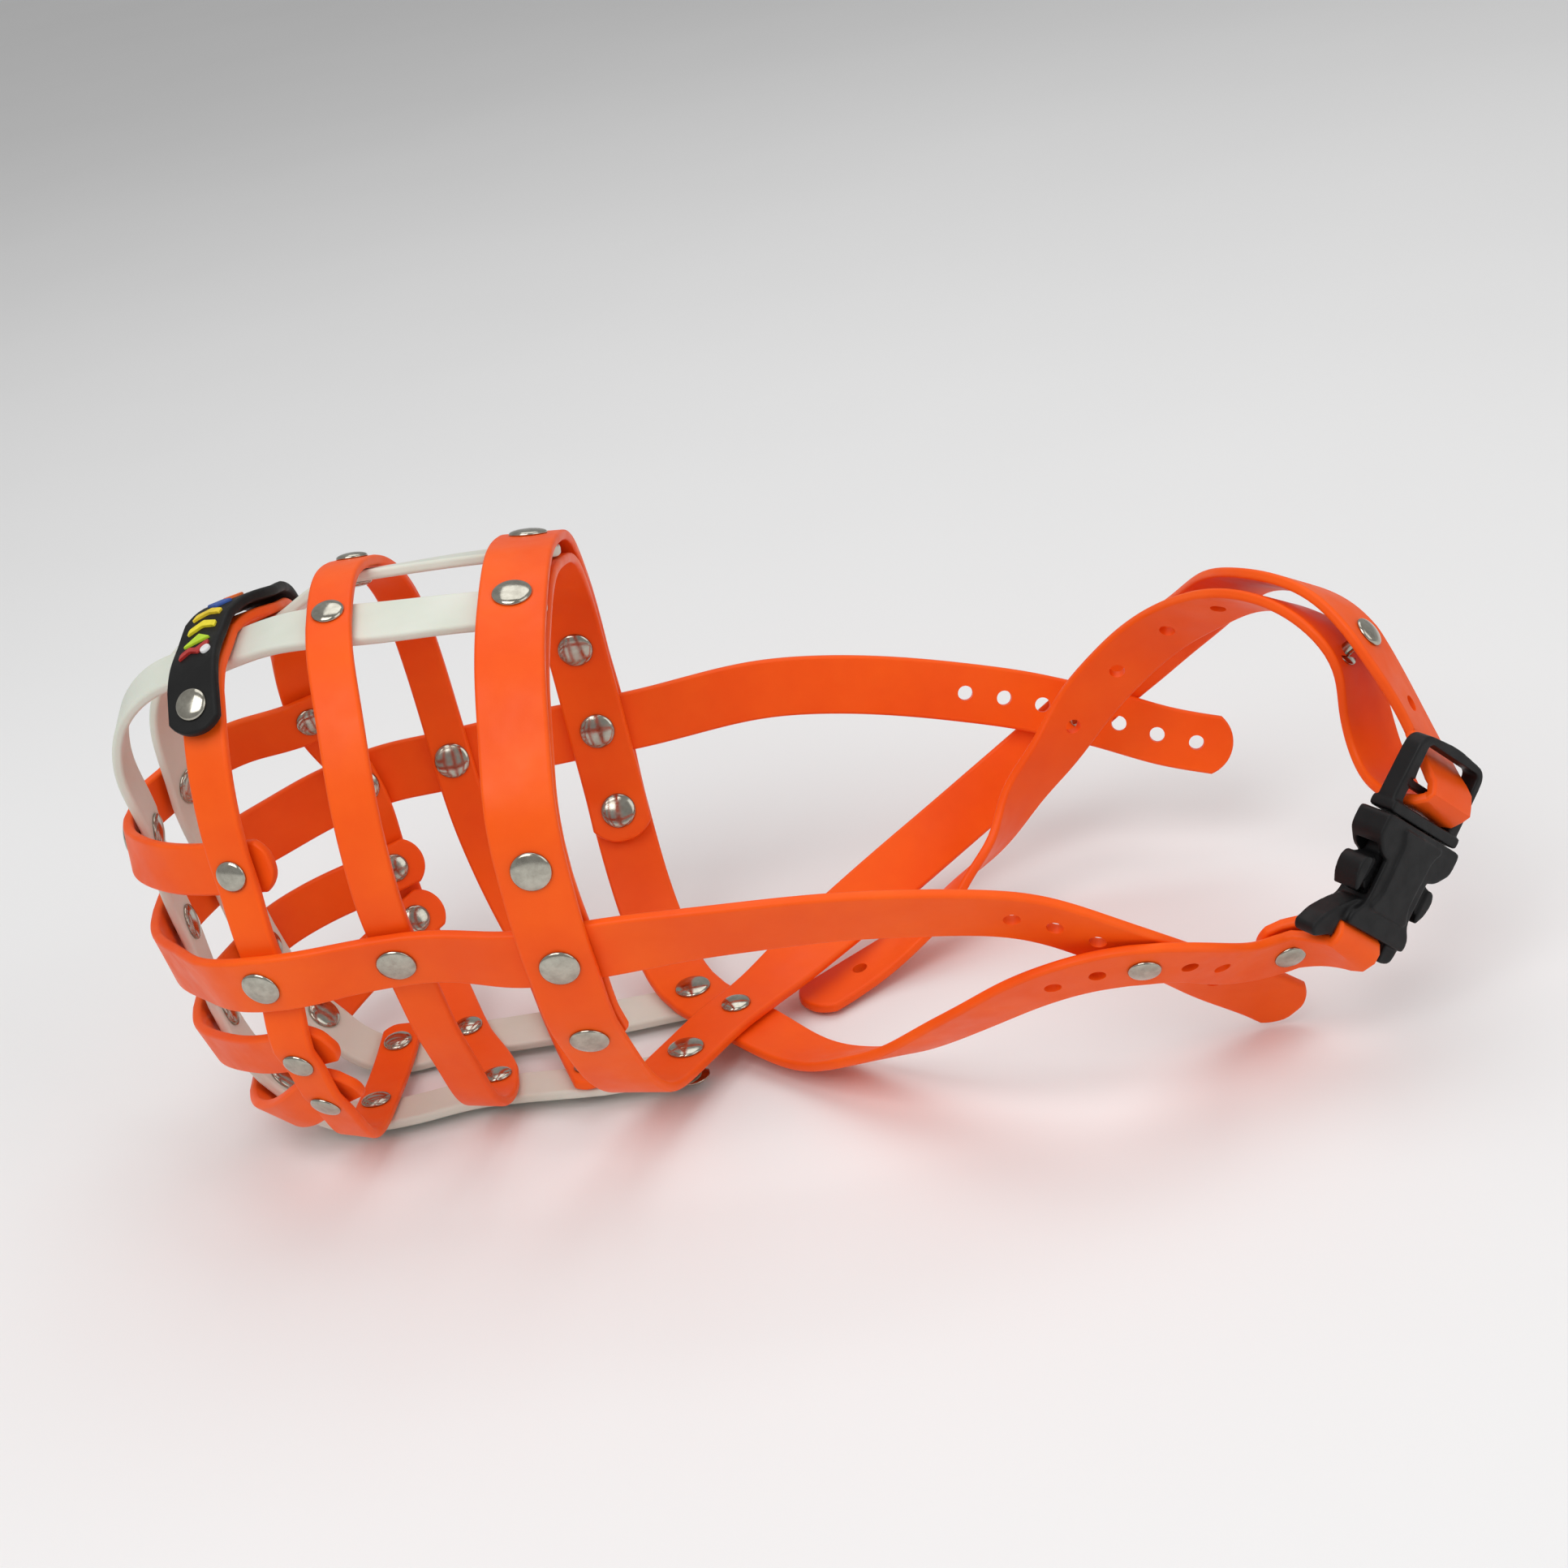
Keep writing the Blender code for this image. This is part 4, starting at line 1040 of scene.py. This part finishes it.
def tail_strap():
    """The rest of the long tail, which hangs inside the neck strap down to the throat."""
    stops = [
        tail_split_stop(), free((-0.5, 17, 3.3), (0.1, 0.05, -0.97)),
        free((-9.5, 10.5, 2.6), (0, 0, -1)),
    ]
    strap("tail_strap", stops, COLLAR_WIDTH, reach=TAIL_REACH, punched=[(1, (0,))])


def along(route, distance):
    """Point, tangent and normal at a distance from the start of a route."""
    for (p0, t0, n0), (p1, t1, n1) in zip(route, route[1:]):
        run = (p1 - p0).length
        if distance <= run:
            u = distance / run
            return p0.lerp(p1, u), t0.lerp(t1, u).normalized(), n0.lerp(n1, u).normalized()
        distance -= run
    return route[-1]


def circle(radius):
    """A round outline."""
    angles = [2 * math.pi * k / CIRCLE_STEPS for k in range(CIRCLE_STEPS)]
    return [(radius * math.cos(t), radius * math.sin(t)) for t in angles]


def badge_shapes():
    """Raised shapes on the badge: name, colour, place along it and across it, outline."""
    diamond = [(-2.0, 0), (0, -3.6), (2.0, 0), (0, 3.6)]
    chevron = [(-1.9, -3.6), (0.1, -3.6), (1.9, 0), (0.1, 3.6), (-1.9, 3.6), (-0.3, 0)]
    wedge = [(-1.9, -3.5), (1.9, 0), (-1.9, 3.5)]
    wave = [(-1.8, -3.6), (0.4, -3.6), (1.8, -1.5), (0.2, 0.6), (1.8, 3.6), (-0.4, 3.6),
            (-1.8, 1.2), (-0.2, -1.0)]
    return [
        ("dot", (0.80, 0.80, 0.80), 13.0, 3.6, circle(1.2)),
        ("wave", (0.45, 0.02, 0.015), 14.6, 0.4, wave),
        ("wedge", (0.50, 0.72, 0.02), 19.6, 0.4, wedge),
        ("chevron_a", (0.85, 0.72, 0.02), 24.4, 0.4, chevron),
        ("chevron_b", (0.85, 0.62, 0.02), 29.2, 0.4, chevron),
        ("diamond", (0.02, 0.08, 0.36), 34.2, 0.4, diamond),
        ("disc", (0.85, 0.16, 0.02), 39.6, 0.4, circle(2.4)),
    ]


def raised_shape(route, name, colour, s, w, outline):
    """One raised shape that follows the badge."""
    if len(outline) < CIRCLE_STEPS:
        outline = rounded(outline, SHAPE_CORNER, SHAPE_CORNER_STEPS)
    face = THICKNESS / 2
    rings = ((1.0, face - SHAPE_SINK), (1.0, face + SHAPE_RISE), (SHAPE_TAPER, face + SHAPE_CROWN))
    bm = bmesh.new()
    loops = []
    for size, height in rings:
        loop = []
        for ds, dw in outline:
            point, tangent, normal = along(route, s + ds * size)
            across = tangent.cross(normal).normalized()
            loop.append(bm.verts.new((point + across * (w + dw * size) + normal * height) * MM))
        loops.append(loop)
    skin(bm, loops)
    item = add_object("badge_" + name, mesh_from(bm, "badge_" + name), badge_colour(name, colour))
    shade(item, SHAPE_SHARP_ANGLE)
    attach(item, "muzzle")


def patch(hoop_route):
    """Rubber badge that follows the top of the first hoop, with its raised shapes."""
    ends = [at("patch_" + side, 0) for side in ("left", "right")]
    places = [station[0] for station in hoop_route]
    first, last = (min(range(len(places)), key=lambda i: (places[i] - e.point).length) for e in ends)
    lift = PATCH_LAYER * PITCH
    route = [(p + n * lift, t, n) for p, t, n in hoop_route[first:last + 1]]
    rings = strap_rings(route, PATCH_WIDTH, PATCH_REACH)
    item = add_object("look_badge_patch", strap_mesh("look_badge_patch", rings), RUBBER)
    drill(item, [(e.point + e.normal * lift, e.normal, SHANK_HOLE_RADIUS, RIVET_HOLE_DEPTH)
                 for e in ends])
    settle(item)
    shade(item)
    publish(item, "badge_patch", "muzzle")
    for row in badge_shapes():
        raised_shape(route, *row)


def buckle_socket():
    """The female half: collar, raised panel, waist with side windows, wings and strap bar."""
    t = SOCKET_HALF_THICKNESS
    w = SOCKET_HALF_WIDTH
    collar = rounded(both_sides([(0, w), (-5.2, w), (-8.4, w - 3.4), (-9.2, WAIST_HALF_WIDTH)]), 1.4)
    waist = rounded(both_sides([(-2, WAIST_HALF_WIDTH), (-CAVITY_DEPTH - 1.5, WAIST_HALF_WIDTH),
                                (-22.0, 10.6), (-24.9, 10.8)]), 2.0)
    wing = [(-18.6, 0), (-18.6, 8.6), (-21.5, 12.6), (-25.0, 16.4), (-29.0, 18.6), (-30.8, 17.0),
            (-28.6, 12.2), (-28.6, 0)]
    other = [(-18.6, 0), (-18.6, -8.4), (-21.5, -10.4), (-25.0, -11.0), (-28.2, -10.4),
             (-29.0, -8.0), (-28.6, 0)]
    panel = rounded(both_sides([(-1.4, 7.6), (-4.5, 5.4), (-16.0, 5.0), (-19.8, 7.2)]), 1.6)
    slabs = [(collar, -t, t), (waist, -t, t), (panel, t - PANEL_DEPTH, t + PANEL_RISE),
             (panel, -t - PANEL_RISE, PANEL_DEPTH - t),
             (rounded(wing, 1.6), -WING_HALF_THICKNESS, WING_HALF_THICKNESS),
             (rounded(other, 1.6), -WING_HALF_THICKNESS, WING_HALF_THICKNESS)]
    c = CAVITY_HALF_THICKNESS
    over = block(-33.0, LIP_END, -6.2, 11.4)
    under = block(-33.0, -23.6, -6.2, 11.4)
    slot = block(-27.1, -23.2, -6.4, 11.6)
    beyond = t + CUT_MARGIN
    cuts = [(rectangle(-CAVITY_DEPTH, 1.0, CAVITY_HALF_WIDTH), -c, c), (slot, -beyond, LIP_UNDERSIDE),
            (over, SOCKET_BAR_HALF_THICKNESS, beyond), (under, -beyond, -SOCKET_BAR_HALF_THICKNESS)]
    moulded("buckle_socket", slabs, cuts, "muzzle")


def buckle_plug():
    """The male half: a frame round two strap slots, a thick foot and the centre tongue."""
    w = PLUG_HALF_WIDTH
    frame_outline = rounded([(PLUG_START, -w), (PLUG_START, w), (PLUG_END - 1.2, w - 0.4),
                             (PLUG_END, 0), (PLUG_END - 1.2, 0.4 - w)], 3.6)
    foot = rounded(rectangle(PLUG_START, PLUG_SLOT_LOW[0], w), 0.9)
    tongue = rectangle(-TONGUE_LENGTH, PLUG_START + 1.0, TONGUE_HALF_WIDTH)
    bar = rectangle(PLUG_SLOT_LOW[1], PLUG_SLOT_TOP[0], PLUG_SLOT_HALF_WIDTH + 1.0)
    t = FRAME_HALF_THICKNESS
    slabs = [(frame_outline, -t, t), (foot, -FOOT_HALF_THICKNESS, FOOT_HALF_THICKNESS),
             (tongue, -PLUG_HALF_THICKNESS, PLUG_HALF_THICKNESS)]
    top, low_end = PLUG_SLOT_TOP[1], PLUG_SLOT_TOP[0]
    window = [(low_end, -10.5), (top, -10.2), (top, PLUG_SLOT_HALF_WIDTH), (low_end, 9.0)]
    slot = rounded(rectangle(*PLUG_SLOT_LOW, PLUG_SLOT_HALF_WIDTH), 1.2)
    thin = PLUG_HALF_THICKNESS
    beyond = t + CUT_MARGIN
    cuts = [(rounded(window, 1.6), -beyond, beyond), (slot, -beyond, beyond),
            (bar, thin, beyond), (bar, -beyond, -thin)]
    moulded("buckle_plug", slabs, cuts, "plug")


def prongs():
    """The two spring arms with their press lobes."""
    arm = [(0.2, 6.2), (0.2, 8.7), (-8.6, 8.7), (-9.8, 11.2), (-13.5, 11.0), (-16.8, 8.0),
           (-16.4, 6.6), (-12.0, 7.6), (-8.0, 6.2)]
    lobe = [(-10.0, 10.7), (-10.1, 12.8), (-12.2, 13.9), (-15.5, 13.3), (-18.0, 11.6), (-17.4, 10.9)]
    root = [(-9.8, 9.0), (-9.8, 11.5), (-12.0, 12.8), (-15.0, 12.2), (-16.4, 10.6), (-14.0, 9.4)]
    layers = ((arm, 0.8, PRONG_HALF_THICKNESS), (root, 1.0, ROOT_HALF_THICKNESS),
              (lobe, 1.0, LOBE_HALF_THICKNESS))
    for node, side in (("prong_left", -1), ("prong_right", 1)):
        slabs = []
        for outline, radius, half in layers:
            turned = [(a, w * side) for a, w in outline]
            slabs.append((rounded(turned, radius), -half, half))
        moulded(node, slabs, [], node)


def rivets():
    """Every rivet and screw, named by its place."""
    for side in ("left", "right"):
        rivet("rivet_collar_top_" + side, "collar_top_" + side, -2, 0, CAP_LARGE)
        rivet("rivet_collar_side_" + side, "collar_side_" + side, -1, 0, CAP_LARGE)
        rivet("rivet_collar_cheek_" + side, "collar_cheek_" + side, -2, 0, CAP_LARGE)
        rivet("rivet_collar_low_" + side, "collar_low_" + side, -LOOSE, 0, CAP_LARGE)
        rivet("rivet_second_top_" + side, "second_top_" + side, -1, 0, CAP_SMALL)
        rivet("rivet_second_cheek_" + side, "second_cheek_" + side, -1, 0, CAP_LARGE)
        rivet("rivet_patch_" + side, "patch_" + side, 0, PATCH_LAYER, CAP_SMALL)
        rivet("rivet_cheek_hoop_" + side, "cheek_hoop_" + side, -LOOSE, 0, CAP_LARGE)
        for band in ("upper", "lower", "chin"):
            rivet(f"rivet_{band}_hoop_{side}", f"{band}_hoop_{side}", -LOOSE, 0, CAP_SMALL)
        for band in ("upper", "cheek", "lower", "chin"):
            rivet(f"rivet_{band}_nose_{side}", f"{band}_nose_{side}", -LOOSE, 0, CAP_LARGE)
        for place in ("hoop_under_", "second_under_", "end_under_"):
            rivet("rivet_" + place + side, place + side, -1, 0, CAP_SMALL)
    rivet("rivet_collar_under_left", "collar_under_left", -LIFT, 0, CAP_LARGE)
    rivet("rivet_collar_under_right", "collar_under_right", -1, 0, CAP_LARGE)
    rivet("rivet_throat", "throat", -1, 0, CAP_SMALL)
    rivet("screw_adjust_left", "adjust_left", -1, 0, CAP_SMALL)
    rivet("screw_adjust_right", "adjust_right", -1, 0.6, CAP_SMALL)
    rivet("screw_socket_loop", "socket_loop", -1, 0, CAP_SMALL)
    rivet("screw_plug_loop", "plug_loop", -PLUG_LOOP_LAYERS, 0, CAP_SMALL, "plug")


# ---- stage


def floor_look():
    """Matt paper with the faintest mottling."""
    look = Look("floor")
    look.colours(look.ramp(look.noise(3.0), 0.3, 0.7, 0.0, 1.0), (0.86, 0.86, 0.86), (0.88, 0.88, 0.88))
    look.rough(look.noise(9.0), 0.75, 0.85)
    return look.material


def floor():
    """A wide pale floor under the muzzle."""
    bm = bmesh.new()
    bmesh.ops.create_grid(bm, x_segments=1, y_segments=1, size=FLOOR_HALF_SIZE)
    item = add_object("floor", mesh_from(bm, "floor"), floor_look())
    item.location.z = -FLOOR_DROP


def area_light(name, place, size, power):
    """A soft square light aimed at the muzzle."""
    light = bpy.data.lights.new(name, "AREA")
    light.shape = "SQUARE"
    light.size = size
    light.energy = power
    item = bpy.data.objects.new(name, light)
    bpy.context.scene.collection.objects.link(item)
    item.location = place
    item.rotation_mode = "QUATERNION"
    item.rotation_quaternion = (LIGHT_TARGET - Vector(place)).to_track_quat("-Z", "Y")


def studio():
    """World, lights and camera."""
    world = bpy.data.worlds.new("studio")
    bpy.context.scene.world = world
    world.use_nodes = True
    backdrop = world.node_tree.nodes["Background"]
    backdrop.inputs["Color"].default_value = (1.0, 1.0, 1.0, 1.0)
    backdrop.inputs["Strength"].default_value = WORLD_STRENGTH
    for row in LIGHTS:
        area_light(*row)
    lens = bpy.data.cameras.new("camera")
    lens.sensor_width = CAMERA_SENSOR
    lens.lens = CAMERA_LENS
    lens.clip_start, lens.clip_end = CAMERA_CLIP
    item = bpy.data.objects.new("camera", lens)
    bpy.context.scene.collection.objects.link(item)
    turn = Matrix((CAMERA_RIGHT, CAMERA_UP, CAMERA_BACK)).transposed()
    item.matrix_world = Matrix.Translation(CAMERA_PLACE) @ turn.to_4x4()
    bpy.context.scene.camera = item
    bpy.context.scene.view_settings.view_transform = "Standard"
    bpy.context.scene.view_settings.look = "None"


white_straps()
HOOP_ROUTE = hoop_strap()
front_bands()
cheek_strap()
collar_liner()
collar_strap()
arch_strap()
tail_strap()
patch(HOOP_ROUTE)
buckle_socket()
buckle_plug()
prongs()
rivets()
floor()
studio()
